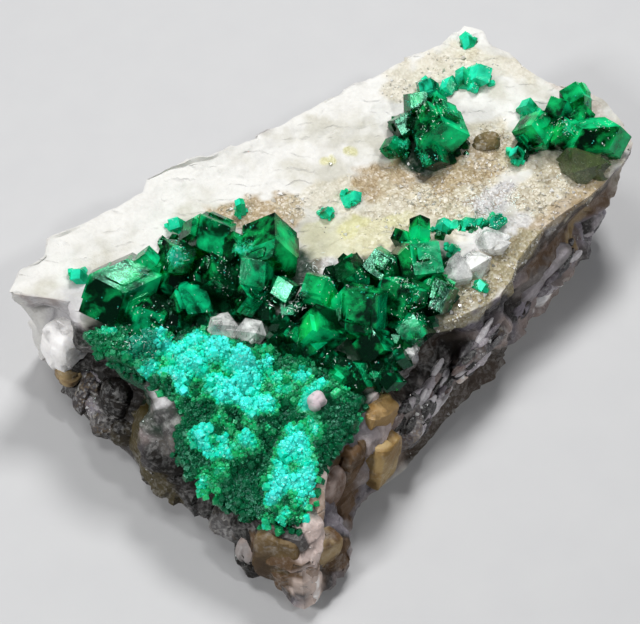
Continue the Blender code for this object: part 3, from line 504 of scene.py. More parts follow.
# Patches: from and to (x, y, z), reach, colour, strength, and how sugary the surface is there.
PATCHES = (
    # the left wall: silvery tip; its hollows and the strip under the crust's edge are painted near black as
    # shade
    ((-33, 19, 8), (-31, 14, 12), 5.0, SILVER, 0.85, 0.1),
    ((-32.5, 11, 3), (-33, -10, 3), 5.0, SHADED_GREY, 0.95, 0.3),
    ((-33, -10, 6), (-31, -22, 7), 5.5, SHADED_GREY, 0.9, 0.2),
    ((-31.4, 12.0, 12.6), (-31.6, 6.0, 12.0), 2.0, SHADE_DARK, 0.95, 0.0),
    ((-31.4, 12.0, 9.0), (-31.5, 3.4, 8.4), 3.4, SHADE_DARK, 1.0, 0.0),
    ((-31.6, 10.4, 6.2), (-32.6, 8.0, 3.6), 1.0, LILAC, 0.7, 0.7),
    ((-32.0, 11.2, 4.2), (-32.8, 6.6, 1.6), 0.6, SILVER, 0.7, 0.8),
    ((-32, -7, 8.5), (-32, -17, 6), 4.6, SHADE_DARK, 1.0, 0.1),
    ((-32.4, -8.0, 11.0), (-31.6, -16.0, 10.0), 2.4, SHADE_DARK, 1.0, 0.0),
    ((-31.0, 10.0, 12.6), (-30.8, 2.0, 12.0), 2.4, SHADE_DARK, 1.0, 0.0),
    ((-31.6, 1.6, 8.4), (-33.0, -4.2, 2.5), 2.3, (0.06, 0.048, 0.02), 1.0, 0.2),
    ((-31.0, 0.6, 11.4), (-32.2, -4.6, 10.4), 1.2, (0.10, 0.095, 0.09), 0.9, 0.4),
    # the front tip
    ((-32.2, -19.0, 6.4), (-31.4, -22.0, 5.0), 2.2, BROWN, 0.95, 0.1),
    ((-30.6, -22.6, 4.8), (-31.4, -23.6, 1.6), 1.0, (0.62, 0.50, 0.44), 0.9, 0.0),
    ((-27.6, -22.4, 5.6), (-27.4, -22.8, 2.6), 1.6, BROWN, 0.9, 0.0),
    ((-23.5, -18.6, 9.4), (-28.2, -21.0, 9.3), 1.3, PINK, 1.0, 0.2),
    ((-28.4, -21.2, 8.8), (-30.4, -22.4, 6.0), 1.1, PINK, 1.0, 0.2),
    ((-22.4, -18.6, 3.4), (-20.4, -18.6, 8.6), 2.2, BROWN, 0.95, 0.0),
    # the ledge and the hollow on the long front wall: near-black painted shade in the hollow, under the ledge
    # and between its streaks; thin white streaks of painted highlight on its pale veins
    ((-14.4, -17.0, 8.6), (-12.6, -18.0, 5.4), 1.7, (0.50, 0.42, 0.41), 0.9, 0.2),
    ((-13.4, -16.4, 11.8), (-11.4, -15.8, 9.6), 1.5, (0.80, 0.70, 0.67), 1.0, 0.2),
    ((-14.6, -18.8, 4.0), (-11.6, -18.4, 3.2), 1.8, BROWN, 0.7, 0.1),
    ((-10.0, -15.0, 9.6), (-1.6, -15.3, 9.4), 3.0, (0.035, 0.026, 0.020), 1.0, 0.0),
    ((-8.0, -15.6, 7.6), (0.0, -16.0, 8.6), 1.0, SHADE_DARK, 0.9, 0.0),
    ((-10.0, -18.8, 2.0), (6.0, -17.6, 3.0), 2.4, BAND, 0.95, 0.2),
    ((-11.6, -18.0, 4.4), (-4.6, -17.4, 6.2), 1.6, (0.13, 0.115, 0.12), 1.0, 0.6),
    ((-4.6, -17.4, 6.2), (3.6, -17.6, 9.0), 1.5, (0.13, 0.115, 0.12), 1.0, 0.6),
    ((-12.6, -17.6, 6.4), (-9.4, -17.2, 8.4), 0.8, (0.62, 0.54, 0.52), 1.0, 0.3),
    ((-10.4, -18.4, 5.6), (-6.0, -17.8, 6.6), 0.6, SNOW, 1.0, 0.8),
    ((-5.4, -17.6, 7.0), (-1.4, -17.4, 8.2), 0.55, SNOW, 1.0, 0.8),
    ((-9.0, -18.4, 4.2), (-3.0, -17.6, 5.6), 0.45, (0.7, 0.66, 0.7), 1.0, 0.8),
    ((-0.8, -17.6, 8.0), (3.0, -17.8, 9.8), 0.5, (0.7, 0.66, 0.7), 1.0, 0.8),
    ((-1.6, -17.6, 6.0), (1.0, -17.8, 6.8), 0.4, SNOW, 0.9, 0.6),
    ((-7.0, -18.0, 5.4), (-1.6, -17.6, 7.0), 0.4, SHADE_DARK, 1.0, 0.0),
    ((-10.6, -18.6, 4.6), (-5.6, -18.0, 5.6), 0.35, SHADE_DARK, 1.0, 0.0),
    ((-4.0, -17.4, 8.0), (0.6, -17.4, 9.2), 0.35, SHADE_DARK, 0.9, 0.0),
    ((1.0, -17.8, 6.4), (3.2, -17.8, 8.4), 0.8, SHADE_DARK, 1.0, 0.0),
    ((3.0, -17.4, 11.6), (7.0, -16.6, 11.8), 1.5, SHADED_GREY, 0.8, 0.2),
    ((7.6, -15.8, 9.4), (10.4, -15.4, 5.6), 2.0, SHADE_DARK, 0.95, 0.0),
    # the right of the front wall: a brown cleaved band over a pale ledge
    ((28.0, -14.4, 10.4), (13.0, -15.0, 9.8), 1.8, BROWN, 0.9, 0.0),
    ((28.0, -14.4, 13.0), (9.6, -15.4, 12.6), 1.5, BAND, 1.0, 0.0),
    ((24.0, -14.2, 9.8), (20.0, -14.8, 9.2), 1.1, TAN, 0.7, 0.0),
    ((12.4, -15.2, 8.0), (17.6, -15.6, 7.6), 1.8, (0.16, 0.14, 0.13), 1.0, 0.0),
    ((19.6, -16.0, 6.0), (14.6, -15.2, 3.4), 0.9, SNOW, 0.95, 0.3),
    ((29.0, -12.6, 9.0), (24.0, -13.4, 7.4), 1.4, LILAC, 0.9, 0.4),
    ((22.0, -13.6, 4.0), (29.0, -11.8, 4.0), 2.6, SHADED_GREY, 0.8, 0.3),
    # the sides away from the light
    ((34.0, -9.0, 10.0), (33.0, 8.0, 10.0), 6.0, (0.36, 0.32, 0.25), 0.7, 0.3),
    ((31.0, 12.0, 10.0), (-12.0, 20.0, 10.0), 6.5, WHITE, 0.8, 0.0),
    ((-14.0, 20.0, 9.0), (-32.0, 21.0, 9.0), 5.5, WHITE, 0.9, 0.0),
    ((31.5, 12.4, 16.4), (-12.0, 20.4, 16.4), 3.0, WHITE, 0.9, 0.0),
    ((-12.0, 20.4, 15.8), (-33.0, 20.6, 15.0), 2.8, WHITE, 0.9, 0.0),
    ((22.0, 14.0, 11.0), (7.0, 15.6, 7.0), 2.6, (0.36, 0.29, 0.20), 0.7, 0.2),
    ((-3.0, 17.0, 4.0), (-11.0, 19.4, 7.0), 2.4, (0.20, 0.19, 0.19), 0.7, 0.2),
    ((-22.0, 20.0, 9.6), (-29.0, 19.6, 4.0), 2.0, (0.44, 0.36, 0.25), 0.6, 0.1),
    ((30.0, 10.6, 6.0), (25.0, 13.0, 4.0), 2.4, (0.15, 0.13, 0.13), 0.7, 0.3),
    ((32.6, 1.0, 13.0), (31.0, 6.0, 8.0), 2.2, (0.24, 0.18, 0.11), 0.7, 0.3),
    # the upper face
    ((-10.0, 11.0, 17.0), (-4.6, 7.0, 16.4), 2.0, TAN, 0.85, 1.0),
    ((-4.0, 6.6, 16.4), (3.0, 5.0, 16.4), 1.5, CREAM, 0.5, 0.9),
    ((6.0, 2.6, 16.2), (12.0, 1.0, 16.2), 2.6, TAN, 0.85, 1.0),
    ((2.0, -2.0, 15.6), (8.0, -4.5, 15.4), 4.4, CREAM, 0.7, 0.8),
    ((-4.0, 1.0, 15.6), (0.0, -2.0, 15.4), 2.6, YELLOW, 0.45, 0.3),
    ((-1.4, 0.4, 15.6), (0.6, 0.4, 15.6), 0.9, YELLOW, 0.65, 0.3),
    ((3.4, -2.4, 15.4), (5.2, -3.2, 15.4), 1.1, YELLOW, 0.5, 0.5),
    ((3.9, 8.9, 16.8), (4.3, 8.6, 16.8), 0.7, YELLOW, 0.8, 0.6),
    ((7.0, 8.2, 16.8), (7.3, 7.9, 16.8), 0.6, YELLOW, 0.8, 0.6),
    ((10.0, -4.0, 15.6), (20.0, -3.0, 16.2), 3.8, CREAM, 0.85, 1.0),
    ((12.0, -2.6, 15.8), (19.0, -4.4, 16.0), 1.9, TAN, 0.7, 1.0),
    ((17.5, -0.6, 16.4), (20.0, -2.6, 16.4), 1.3, BROWN, 0.45, 0.8),
    ((12.4, -8.0, 15.2), (16.6, -8.8, 15.4), 1.9, SILVER, 0.8, 1.0),
    ((9.6, -11.8, 14.8), (17.0, -13.0, 14.8), 2.0, SILVER, 0.6, 0.9),
    ((18.0, -11.0, 15.0), (27.0, -12.6, 15.2), 2.8, CREAM, 0.85, 0.9),
    ((22.0, -9.0, 15.6), (27.6, -11.0, 15.6), 1.6, OLIVE, 0.5, 0.7),
    ((31.0, -11.0, 15.6), (34.0, -3.0, 16.4), 2.2, PINK, 0.45, 0.8),
    ((19.0, 10.6, 18.0), (27.0, 9.6, 18.0), 2.6, CREAM, 0.6, 0.7),
    ((29.0, 8.0, 18.0), (31.6, 3.0, 17.4), 1.8, CREAM, 0.5, 0.6),
    ((-7.4, -0.9, 15.4), (-7.0, -0.8, 15.4), 0.8, OLIVE, 0.75, 0.2),
    ((11.8, 1.2, 16.2), (11.4, 0.2, 16.2), 0.9, SHADE_DARK, 0.75, 0.2),
    ((-6.0, -1.6, 15.3), (-4.0, -3.0, 15.3), 1.0, SILVER, 0.7, 0.8),
    ((10.0, -14.0, 14.4), (25.0, -14.0, 14.8), 1.2, TAN, 0.7, 0.5),
    ((-1.0, -15.2, 13.8), (8.6, -13.8, 14.4), 2.1, (0.36, 0.33, 0.22), 0.9, 0.7),
    ((3.0, -11.6, 14.6), (7.0, -12.4, 14.6), 1.6, SILVER, 0.6, 0.5),
    ((1.0, -14.6, 14.3), (13.0, -14.9, 13.9), 2.3, (0.32, 0.28, 0.17), 1.0, 0.8),
    ((20.0, -5.0, 16.2), (23.0, -8.4, 16.0), 2.2, CREAM, 0.6, 0.9),
    # dark ground under the crust: painted shade along its foot
    ((-28.0, 4.0, 15.0), (-27.0, -8.0, 14.5), 5.2, SHADE_UNDER_CRYSTALS, 1.0, 0.0),
    ((-26.0, -8.0, 14.5), (-26.0, -17.0, 13.0), 5.2, SHADE_UNDER_CRYSTALS, 1.0, 0.0),
    ((-19.0, -10.0, 14.0), (-17.6, -15.0, 13.0), 2.6, SHADE_UNDER_CRYSTALS, 1.0, 0.0),
    ((-29.6, 0.4, 13.8), (-31.4, -4.0, 12.8), 1.6, SHADED_GREY, 0.9, 0.3),
    ((-29.8, 0.2, 13.4), (-30.6, -1.6, 13.0), 0.8, SILVER, 0.8, 0.4),
    # deep green where the large crystals are rooted: painted shade under them
    ((-27.0, 9.4, 16.0), (-12.0, 5.4, 16.0), 3.0, SHADE_UNDER_CRYSTALS, 1.0, 0.0),
    ((-27.5, 5.6, 15.0), (-10.0, 0.6, 15.4), 3.2, SHADE_UNDER_CRYSTALS, 1.0, 0.0),
    ((-16.6, -3.6, 15.0), (-3.0, -6.6, 15.2), 3.0, SHADE_UNDER_CRYSTALS, 1.0, 0.0),
    ((-15.0, -10.0, 14.2), (1.6, -9.6, 15.0), 3.6, SHADE_UNDER_CRYSTALS, 1.0, 0.0),
    ((-14.5, -13.6, 13.0), (-4.0, -13.0, 13.8), 2.3, SHADE_UNDER_CRYSTALS, 1.0, 0.0),
    ((13.4, 2.0, 16.6), (17.4, 3.6, 16.8), 2.8, SHADE_UNDER_CRYSTALS, 1.0, 0.0),
    ((24.6, -5.6, 16.2), (29.6, -7.6, 16.2), 2.0, SHADE_UNDER_CRYSTALS, 1.0, 0.0),
)
# Ridges, ledges, grooves and the crack: from and to (x, y, z), reach, and height out of the surface.
RELIEF = (
    ((-31.6, 17.4, 12.4), (-30.6, 13.4, 12.4), 1.2, -1.0),
    ((-31.4, 12.2, 10.4), (-31.4, 4.0, 8.4), 2.6, -1.4),
    ((-32.0, -7.0, 8.5), (-32.0, -15.0, 7.0), 2.6, -1.0),
    ((-30.8, 0.0, 12.8), (-32.4, -4.8, 10.6), 1.1, 0.4),
    ((-24.0, -18.6, 9.8), (-28.4, -21.0, 9.2), 1.2, 0.5),
    ((-28.4, -21.2, 8.8), (-31.2, -23.2, 3.0), 1.3, 0.7),
    ((-9.4, -15.0, 9.6), (-1.0, -15.3, 9.6), 2.6, -1.3),
    ((-11.6, -18.0, 4.8), (-4.6, -17.4, 6.6), 1.3, 1.2),
    ((-4.6, -17.4, 6.6), (3.6, -17.6, 9.4), 1.2, 1.1),
    ((-9.0, -18.4, 4.0), (-2.6, -17.6, 5.2), 0.7, 0.5),
    ((-7.0, -18.0, 5.4), (-1.6, -17.6, 6.8), 0.5, -0.6),
    ((-0.8, -17.6, 6.0), (3.4, -17.8, 7.4), 0.8, 0.7),
    ((1.0, -17.8, 6.4), (3.2, -17.8, 8.4), 0.8, -1.3),
    ((8.4, -15.8, 8.2), (10.2, -15.4, 5.8), 1.7, -1.3),
    ((27.6, -13.4, 8.8), (22.4, -14.6, 7.2), 1.6, 0.7),
    ((-10.4, -18.4, 5.4), (-1.4, -17.4, 8.0), 0.4, 0.35),
    ((-9.0, -18.4, 3.8), (-2.6, -17.6, 5.2), 0.35, 0.3),
)
# Calmer stretches of wall that cleaved clean: from and to (x, y, z), reach, and share of roughness taken off.
CLEAVED = (
    ((28.0, -14.4, 12.6), (10.0, -15.4, 12.4), 3.0, 0.85),
    ((12.0, -15.2, 8.0), (18.0, -15.6, 7.6), 2.4, 0.6),
    ((-33.6, 19.0, 10.0), (-31.2, 16.6, 13.0), 5.0, 0.95),
    ((-24.0, -18.6, 9.8), (-31.2, -23.2, 3.0), 1.8, 0.6),
    ((31.5, -11.5, 3.0), (31.0, -4.0, 3.0), 4.0, 0.75),
)


def tent(points, start, end, reach):
    """A ridge's profile: 1 on the line from start to end, falling straight to 0 at reach."""
    return np.clip(1.0 - line_distance(points, start, end) / reach, 0.0, 1.0)


def patched(points, tint, sugar):
    """The colours and how sugary the points are, both drawn towards those of each patch in turn."""
    for start, end, reach, colour, strength, sugary in PATCHES:
        share = patch(points, start, end, reach) * strength
        tint = tint + (np.array(colour) - tint) * share[..., None]
        sugar = sugar + (sugary - sugar) * share
    return tint, sugar


def shaped_block(column):
    """Grid, colours and sugariness of the broken block, with painted shade on its walls and in its creases.

    Each point moves along its normal by broken faces and waves, which are coarse and rough on the walls
    and fine on the upper face, by the swellings and the ridges, and by finer blocks and grains of its own.
    """
    grid = block_grid(column)
    normal = outward_normals(grid)
    steep, level = WALL_LEAN
    wall = np.clip((level - np.abs(normal[..., 2])) / (level - steep), 0.0, 1.0)
    coarse, small = blocks(grid, 2.8, 60, dome=0.35), blocks(grid, 1.15, 70, dome=0.3)
    ledges = blocks(grid * (0.34, 0.34, 1.0) + 0.1 * grid[..., :1], 1.35, 80)
    rugged = 1.3 * chips(grid, 5.0, 7) + 0.6 * swirl(grid, 9.0, 27) + 1.1 * coarse + 0.40 * small
    rugged += 0.40 * ledges - 0.1 + 0.22 * chips(grid, 1.5, 77)
    loose = np.clip(np.maximum(grid[..., 0] - 28.0, 0.5 * grid[..., 1] - 4.0) / 4.0, 0.12, 0.45)
    rugged *= np.clip((upper_face(grid[..., 0], grid[..., 1]) - grid[..., 2]) / RIM_CALM, loose, 1.0)
    painted_crease_shade = np.clip(0.55 - 0.9 * coarse - 0.8 * small - 0.4 * ledges, 0.0, 1.0) * wall
    grain = 0.35 * swirl(grid, 6.0, 47) + 0.22 * swirl(grid, 2.2, 48) + 0.10 * chips(grid, 1.6, 49)

    veins = np.clip(0.5 + 1.6 * swirl(grid, 4.0, 90) + 0.7 * swirl(grid, 1.3, 91), 0.0, 1.0)[..., None]
    clear = np.clip(0.35 + 1.1 * swirl(grid, 3.4, 92) + 0.5 * swirl(grid, 1.0, 93), 0.0, 1.0)[..., None]
    face = np.array(WHITE) * (1.0 - 0.26 * clear * (0.85, 0.9, 1.15))
    # The walls' pink and lilac are dimmed to 0.55: painted shade for walls that stand in half shade.
    walls = np.array(PINK) * 0.55 * veins + np.array(LILAC) * 0.55 * (1.0 - veins)
    tint = face + (walls - face) * wall[..., None]
    tint, sugar = patched(grid, tint, 0.15 * wall)
    # Painted shade: the walls' colours darken in the creases between the blocks.
    tint = tint * (1.0 - 0.85 * painted_crease_shade[..., None])
    sugared = 0.22 * blocks(grid, 2.4, 37) + 0.22 * blocks(grid, 0.95, 110) + 0.09 * swirl(grid, 0.7, 111)
    grain += sugar * sugared
    for start, end, reach, share in CLEAVED:
        rugged = rugged * (1.0 - share * np.minimum(1.0, 2.0 * tent(grid, start, end, reach)))
    push = rugged * wall + grain * (1.0 - wall)
    for x, y, z, reach, lift in SWELLINGS:
        push = push + lift * np.exp(-((grid - (x, y, z)) ** 2).sum(axis=-1) / reach**2)
    for start, end, reach, lift in RELIEF:
        push = push + lift * tent(grid, start, end, reach)
    moved = grid + normal * push[..., None]
    moved[..., 0] = np.minimum(moved[..., 0], FARTHEST_RIGHT - 0.15 * swirl(grid, 1.5, 99))
    moved[..., 2] = np.maximum(moved[..., 2], LOWEST_EDGE)
    return np.where(grid[..., 2:] == 0.0, grid, moved), tint, sugar, wall


def calcite_paint(s):
    """Milky calcite: the patches' colours, fine mottle, faint cleavage lines, and where it is sugary
    bright grains outlined by a thin tan net."""
    sugar, rough = s.attribute("sugar"), s.attribute("rough")
    glint = s.node("SeparateColor", {}, {"Color": s.cells(0.34)}, output="Red")
    fine = s.noise(0.5, detail=5.0, rough=0.65)
    broad = s.noise(3.0, detail=6.0, rough=0.6, twist=0.4)
    lined = s.lines("DIAGONAL", 190.0, 5.0, 3.0, 1.6).held(0.955, 1.0) * broad.held(0.5, 0.62)
    inside = s.cells(0.55, output="Distance", feature="DISTANCE_TO_EDGE").held(0.03, 0.16)
    net = (1.0 - inside) * s.noise(0.9, detail=3.0).held(0.42, 0.62) * sugar.held(0.3, 0.9)
    base = s.attribute("tint", output="Color")
    speck = (glint - 0.5) * sugar * 0.45 + (fine - 0.5) * 0.3 + (broad - 0.5) * 0.3
    lighter = speck.held(0.0, 0.6).mix(base, (0.90, 0.89, 0.86, 1.0))
    darker = (0.0 - speck).held(0.0, 0.8).mix(lighter, (0.10, 0.075, 0.05, 1.0))
    netted = (net * 0.8).mix(darker, (0.20, 0.135, 0.055, 1.0))
    facets = s.cells(0.34, output="Distance")
    ground = s.bump(broad * 0.6 + fine * (0.25 + rough * 0.35) - lined * 0.4, 0.40, 0.6)
    return {
        "Base Color": (lined * 0.35).mix(netted, (0.30, 0.29, 0.28, 1.0)),
        "Roughness": 0.50 - sugar * glint * 0.40 - rough * glint * 0.22,
        "IOR": 1.55,
        "Specular IOR Level": 0.18,
        "Subsurface Weight": 0.12,
        "Subsurface Radius": (1.0, 0.9, 0.75),
        "Subsurface Scale": 0.0009,
        "Normal": s.bump(facets * sugar, 0.12, 0.9, ground),
    }


block, block_tint, block_sugar, block_wall = shaped_block(around(RIM_SPACING))
block_ends = [(0.0, 0.0, 0.0), (0.0, 0.0, block[-1, :, 2].mean())]
block_corners = np.concatenate([block.reshape(-1, 3), block_ends])
block_faces = closed_faces(*block.shape[:2])
calcite = finish("calcite", calcite_paint)
calcite_block = piece(
    "calcite_block", block_corners, block_faces, calcite, sharp=24.0,
    tint=np.concatenate([block_tint.reshape(-1, 3), [SHADED_GREY, WHITE]]),
    sugar=np.append(block_sugar, (0.0, 0.0)), rough=np.append(block_wall, (0.0, 0.0)),
)
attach(calcite_block, "root")
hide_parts("matrix_rock")


# ================================================================ blocks that broke out of the walls
# Calcite breaks in slanting blocks. The largest stand out of the walls: the white knob under the left tip,
# an olive and a tan block, the bright ledge on the long wall, and rounded grey ones between them.
# Where each is (x, y, z), how it is turned (bearing, rise, roll), its half sizes, squareness, relief,
# two colours that share it, and how sugary it is.
# The near-black colours of the lumps on the left wall are painted shade.
BLOCKS = (
    (-31.2, 14.4, 9.2, 5, 84, 0, 2.1, 2.1, 2.8, 3.6, 0.40, SNOW, SNOW, 0.1),
    (-31.9, 13.4, 6.2, 0, 78, 0, 1.4, 1.5, 1.3, 3.0, 0.35, TAN, BROWN, 0.1),
    (-31.3, 10.2, 4.6, 0, 70, 20, 1.7, 1.5, 1.9, 3.5, 0.6, (0.05, 0.046, 0.052), SHADE_DARK, 0.6),
    (-31.9, 7.4, 3.0, 0, 80, 50, 1.6, 1.6, 1.5, 3.5, 0.6, (0.018, 0.017, 0.017), (0.075, 0.07, 0.072), 0.6),
    (-30.8, 6.4, 6.4, 0, 60, 10, 1.3, 1.3, 1.8, 3.5, 0.6, (0.012, 0.011, 0.011), SHADE_DARK, 0.3),
    (-31.6, 4.4, 3.2, 0, 80, 30, 1.3, 1.3, 1.6, 4.0, 0.5, (0.035, 0.028, 0.014), SHADE_DARK, 0.3),
    (-30.7, 0.3, 5.0, -12, 76, 0, 1.9, 2.4, 3.5, 6, 0.25, (0.045, 0.034, 0.008), (0.085, 0.062, 0.018), 0.1),
    (-31.6, -3.9, 2.4, 20, 70, 0, 1.4, 1.8, 1.7, 4.5, 0.4, (0.035, 0.028, 0.014), SHADE_DARK, 0.2),
    (-31.4, -12.6, 3.2, 10, 60, 20, 1.5, 2.4, 1.6, 3.5, 0.4, (0.03, 0.028, 0.028), (0.12, 0.115, 0.115), 0.4),
    (-31.6, -16.6, 3.0, 10, 60, 70, 1.4, 2.2, 1.4, 3.5, 0.3, (0.30, 0.27, 0.26), (0.40, 0.32, 0.29), 0.2),
    (-31.3, -19.6, 5.4, 25, 76, 0, 1.7, 2.4, 2.9, 6, 0.22, (0.055, 0.032, 0.013), (0.13, 0.085, 0.035), 0.0),
    (-31.0, -21.6, 2.6, 25, 80, 0, 1.2, 2.0, 1.9, 4.0, 0.25, BROWN, (0.36, 0.26, 0.19), 0.0),
    (-30.6, -22.9, 2.2, 30, 84, 0, 1.1, 1.2, 1.9, 3.5, 0.30, SNOW, (0.62, 0.50, 0.44), 0.0),
    (-27.4, -21.9, 4.0, -8, 80, 0, 1.6, 1.2, 2.1, 5.0, 0.22, TAN, BROWN, 0.0),
    (-29.5, -21.6, 6.4, 40, 58, 30, 0.9, 0.8, 3.6, 4.5, 0.40, (0.34, 0.25, 0.20), (0.20, 0.12, 0.07), 0.0),
    (-27.3, -20.0, 8.7, 35, 24, 30, 0.8, 0.7, 3.6, 4.5, 0.45, (0.50, 0.40, 0.34), (0.30, 0.21, 0.15), 0.1),
    (-24.4, -18.1, 9.8, 32, 16, 30, 0.8, 0.7, 3.4, 4.5, 0.45, (0.55, 0.46, 0.42), (0.32, 0.23, 0.19), 0.1),
    (-23.0, -17.9, 6.4, 0, 66, 10, 1.8, 1.2, 2.8, 4.0, 0.35, (0.16, 0.10, 0.07), (0.42, 0.33, 0.29), 0.0),
    (-19.4, -17.6, 7.6, 0, 75, 12, 1.8, 1.3, 2.6, 5.0, 0.30, (0.075, 0.045, 0.02), BROWN, 0.0),
    (-14.5, -16.5, 9.8, -12, 74, 8, 1.9, 1.5, 1.9, 8.0, 0.30, (0.24, 0.135, 0.035), (0.34, 0.22, 0.09), 0.1),
    (-16.1, -18.5, 5.9, 6, 78, 5, 1.9, 1.9, 2.9, 8.0, 0.22, (0.38, 0.27, 0.12), (0.24, 0.145, 0.045), 0.1),
    (-0.9, -16.8, 4.7, 0, 60, 0, 0.8, 0.9, 1.1, 2.6, 0.25, SNOW, (0.70, 0.58, 0.52), 0.0),
    (-8.2, -14.8, 11.4, 0, 50, 0, 1.2, 0.9, 1.4, 3.0, 0.5, (0.30, 0.31, 0.33), SHADED_GREY, 0.4),
    (15.4, -14.7, 6.2, -4, 24, 10, 2.4, 1.2, 5.0, 5.0, 0.30, (0.34, 0.31, 0.33), (0.20, 0.18, 0.18), 0.1),
    (17.0, -15.4, 4.6, -4, 20, 0, 0.9, 0.9, 3.2, 3.5, 0.30, SNOW, SILVER, 0.3),
    (11.4, -14.8, 4.4, 0, 60, 0, 1.5, 1.2, 2.2, 4.5, 0.40, SHADED_GREY, LILAC, 0.1),
    (24.0, -13.2, 6.4, -10, 24, 20, 1.6, 1.2, 3.8, 4.5, 0.45, (0.34, 0.31, 0.33), SHADED_GREY, 0.3),
    (29.6, -11.4, 5.0, 20, 60, 0, 1.6, 1.5, 2.8, 4.0, 0.45, SHADED_GREY, LILAC, 0.2),
)


def turns(bearing, rise, roll):
    """Matrices that turn by roll about Z, lean Z down to rise and swing it round to bearing, in degrees."""
    lean, swing, spin = (np.radians(angle) for angle in (90.0 - rise, bearing, roll))
    zero, one = np.zeros_like(lean), np.ones_like(lean)

    def matrix(*cells):
        """A 3 x 3 matrix for each of the angles, from its nine cells."""
        return np.stack(cells, axis=-1).reshape(-1, 3, 3)

    about_z = [matrix(np.cos(a), -np.sin(a), zero, np.sin(a), np.cos(a), zero, zero, zero, one)
               for a in (swing, spin)]
    about_y = matrix(np.cos(lean), zero, np.sin(lean), zero, one, zero, -np.sin(lean), zero, np.cos(lean))
    return about_z[0] @ about_y @ about_z[1]


def lump(place, turned, sizes, squareness, relief, seed, steps=(34, 46)):
    """Points, relief and faces of a rough block: |x/a|^n + |y/b|^n + |z/c|^n = 1 with n its squareness,
    pushed out by blocky relief."""
    down = np.linspace(0.0, math.pi, steps[0])[1:-1, None]
    about = np.linspace(0.0, 2.0 * math.pi, steps[1] + 1)[:-1]
    across, deep = np.sin(down) * np.cos(about), np.sin(down) * np.sin(about)
    way = np.stack([across, deep, -np.cos(down) + 0.0 * about], axis=-1)
    body = way / (np.abs(way) ** squareness).sum(axis=-1, keepdims=True) ** (1.0 / squareness) * sizes
    rugged = blocks(body, 1.5, seed, dome=0.3) + 0.4 * blocks(body, 0.75, seed + 9, dome=0.4) - 0.15
    body = body + way * (relief * rugged)[..., None]
    ends = np.array([body[0].mean(axis=0), body[-1].mean(axis=0)])
    bearing, rise, roll = (np.array([angle], float) for angle in turned)
    points = np.concatenate([body.reshape(-1, 3), ends]) @ turns(bearing, rise, roll)[0].T + place
    return points, np.append(rugged, (0.0, 0.0)), closed_faces(*body.shape[:2])


def together(parts):
    """Several sets of points, faces and values as one: points and values in a row, and each set's faces
    counted on from the points before it."""
    points, faces, *values = zip(*parts)
    starts = np.cumsum([0] + [len(some) for some in points[:-1]])
    moved = [face + start for group, start in zip(faces, starts) for face in group]
    return [np.concatenate(points), moved] + [np.concatenate(value) for value in values]


parts = []
for number, row in enumerate(BLOCKS):
    (squareness, relief), (first, second), grainy = row[9:11], row[11:13], row[13]
    points, rugged, faces = lump(row[:3], row[3:6], row[6:9], squareness, relief, 600 + 20 * number)
    points[:, 2] = np.maximum(points[:, 2], LOWEST_EDGE)
    share = np.clip(0.5 + 1.8 * swirl(points, 1.6, 640) + 0.9 * swirl(points, 0.6, 641), 0.0, 1.0)[:, None]
    tint = np.array(first) * (1.0 - share) + np.array(second) * share
    # Each lump darkens in the low hollows of its relief: painted shade.
    shaded = tint * (1.0 - 0.7 * np.clip(0.35 - 0.9 * rugged, 0.0, 1.0)[:, None])
    parts.append((points, faces, shaded, np.full(len(points), grainy)))
points, faces, tint, sugar = together(parts)
wall_blocks = piece("wall_blocks", points, faces, calcite, tint=tint, sharp=22.0, sugar=sugar,
                    rough=np.full(len(points), 0.6))
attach(wall_blocks, "root")


# ================================================================ slivers along the ledges
# The ledges of the long wall are splintered into narrow glassy slivers that run with them, pale on dark.
# Each is half sunk in the wall.
# Where they lie: from and to (x, y, z), how many, half lengths, and half widths.
SPLINTERS = (
    ((-11.2, -17.9, 4.6), (3.4, -17.4, 9.2), 44, (0.6, 2.4), (0.14, 0.36)),
    ((-9.4, -18.3, 3.4), (1.0, -17.6, 6.8), 26, (0.5, 1.8), (0.12, 0.30)),
    ((-12.8, -17.2, 7.0), (-8.0, -17.0, 8.0), 12, (0.4, 1.2), (0.14, 0.34)),
    ((13.4, -15.3, 5.0), (20.0, -15.1, 7.2), 16, (0.5, 1.6), (0.14, 0.34)),
)
SPLINTER_COLOURS = (
    (0.58, 0.55, 0.57), (0.40, 0.36, 0.39), (0.13, 0.11, 0.13), (0.04, 0.036, 0.04), SHADE_DARK, (0.18, 0.13, 0.12),
)


def splinters(seed):
    """Points, faces and colours of rough slivers, each half sunk in the block near a line of the table and
    nearly along it."""
    surface = BVHTree.FromObject(calcite_block, bpy.context.evaluated_depsgraph_get())
    draw = np.random.default_rng(seed)
    found = []
    for start, end, count, lengths, widths in SPLINTERS:
        start, end = np.array(start), np.array(end)
        forward = (end - start) / np.linalg.norm(end - start)
        for share in draw.random(count):
            beside = start + (end - start) * share + draw.normal(0.0, (0.0, 0.2, 0.55))
            hit = surface.find_nearest(((beside - MIDDLE) * MM).tolist())[0]
            place = np.array(hit) / MM + MIDDLE
            way = forward + draw.normal(0.0, 0.11, 3)
            rise = math.degrees(math.asin(way[2] / np.linalg.norm(way)))
            turned = (math.degrees(math.atan2(way[1], way[0])), rise, draw.uniform(0.0, 90.0))
            half = (draw.uniform(*widths), draw.uniform(*widths), draw.uniform(*lengths))
            points, rugged, faces = lump(place, turned, half, 2.3, 0.32, int(draw.integers(900)), (20, 14))
            colour = np.array(SPLINTER_COLOURS[draw.integers(len(SPLINTER_COLOURS))])
            # Each sliver darkens in the hollows of its relief: painted shade.
            found.append((points, faces, colour * (1.0 - 0.6 * np.clip(0.35 - rugged, 0.0, 1.0)[:, None])))
    return found


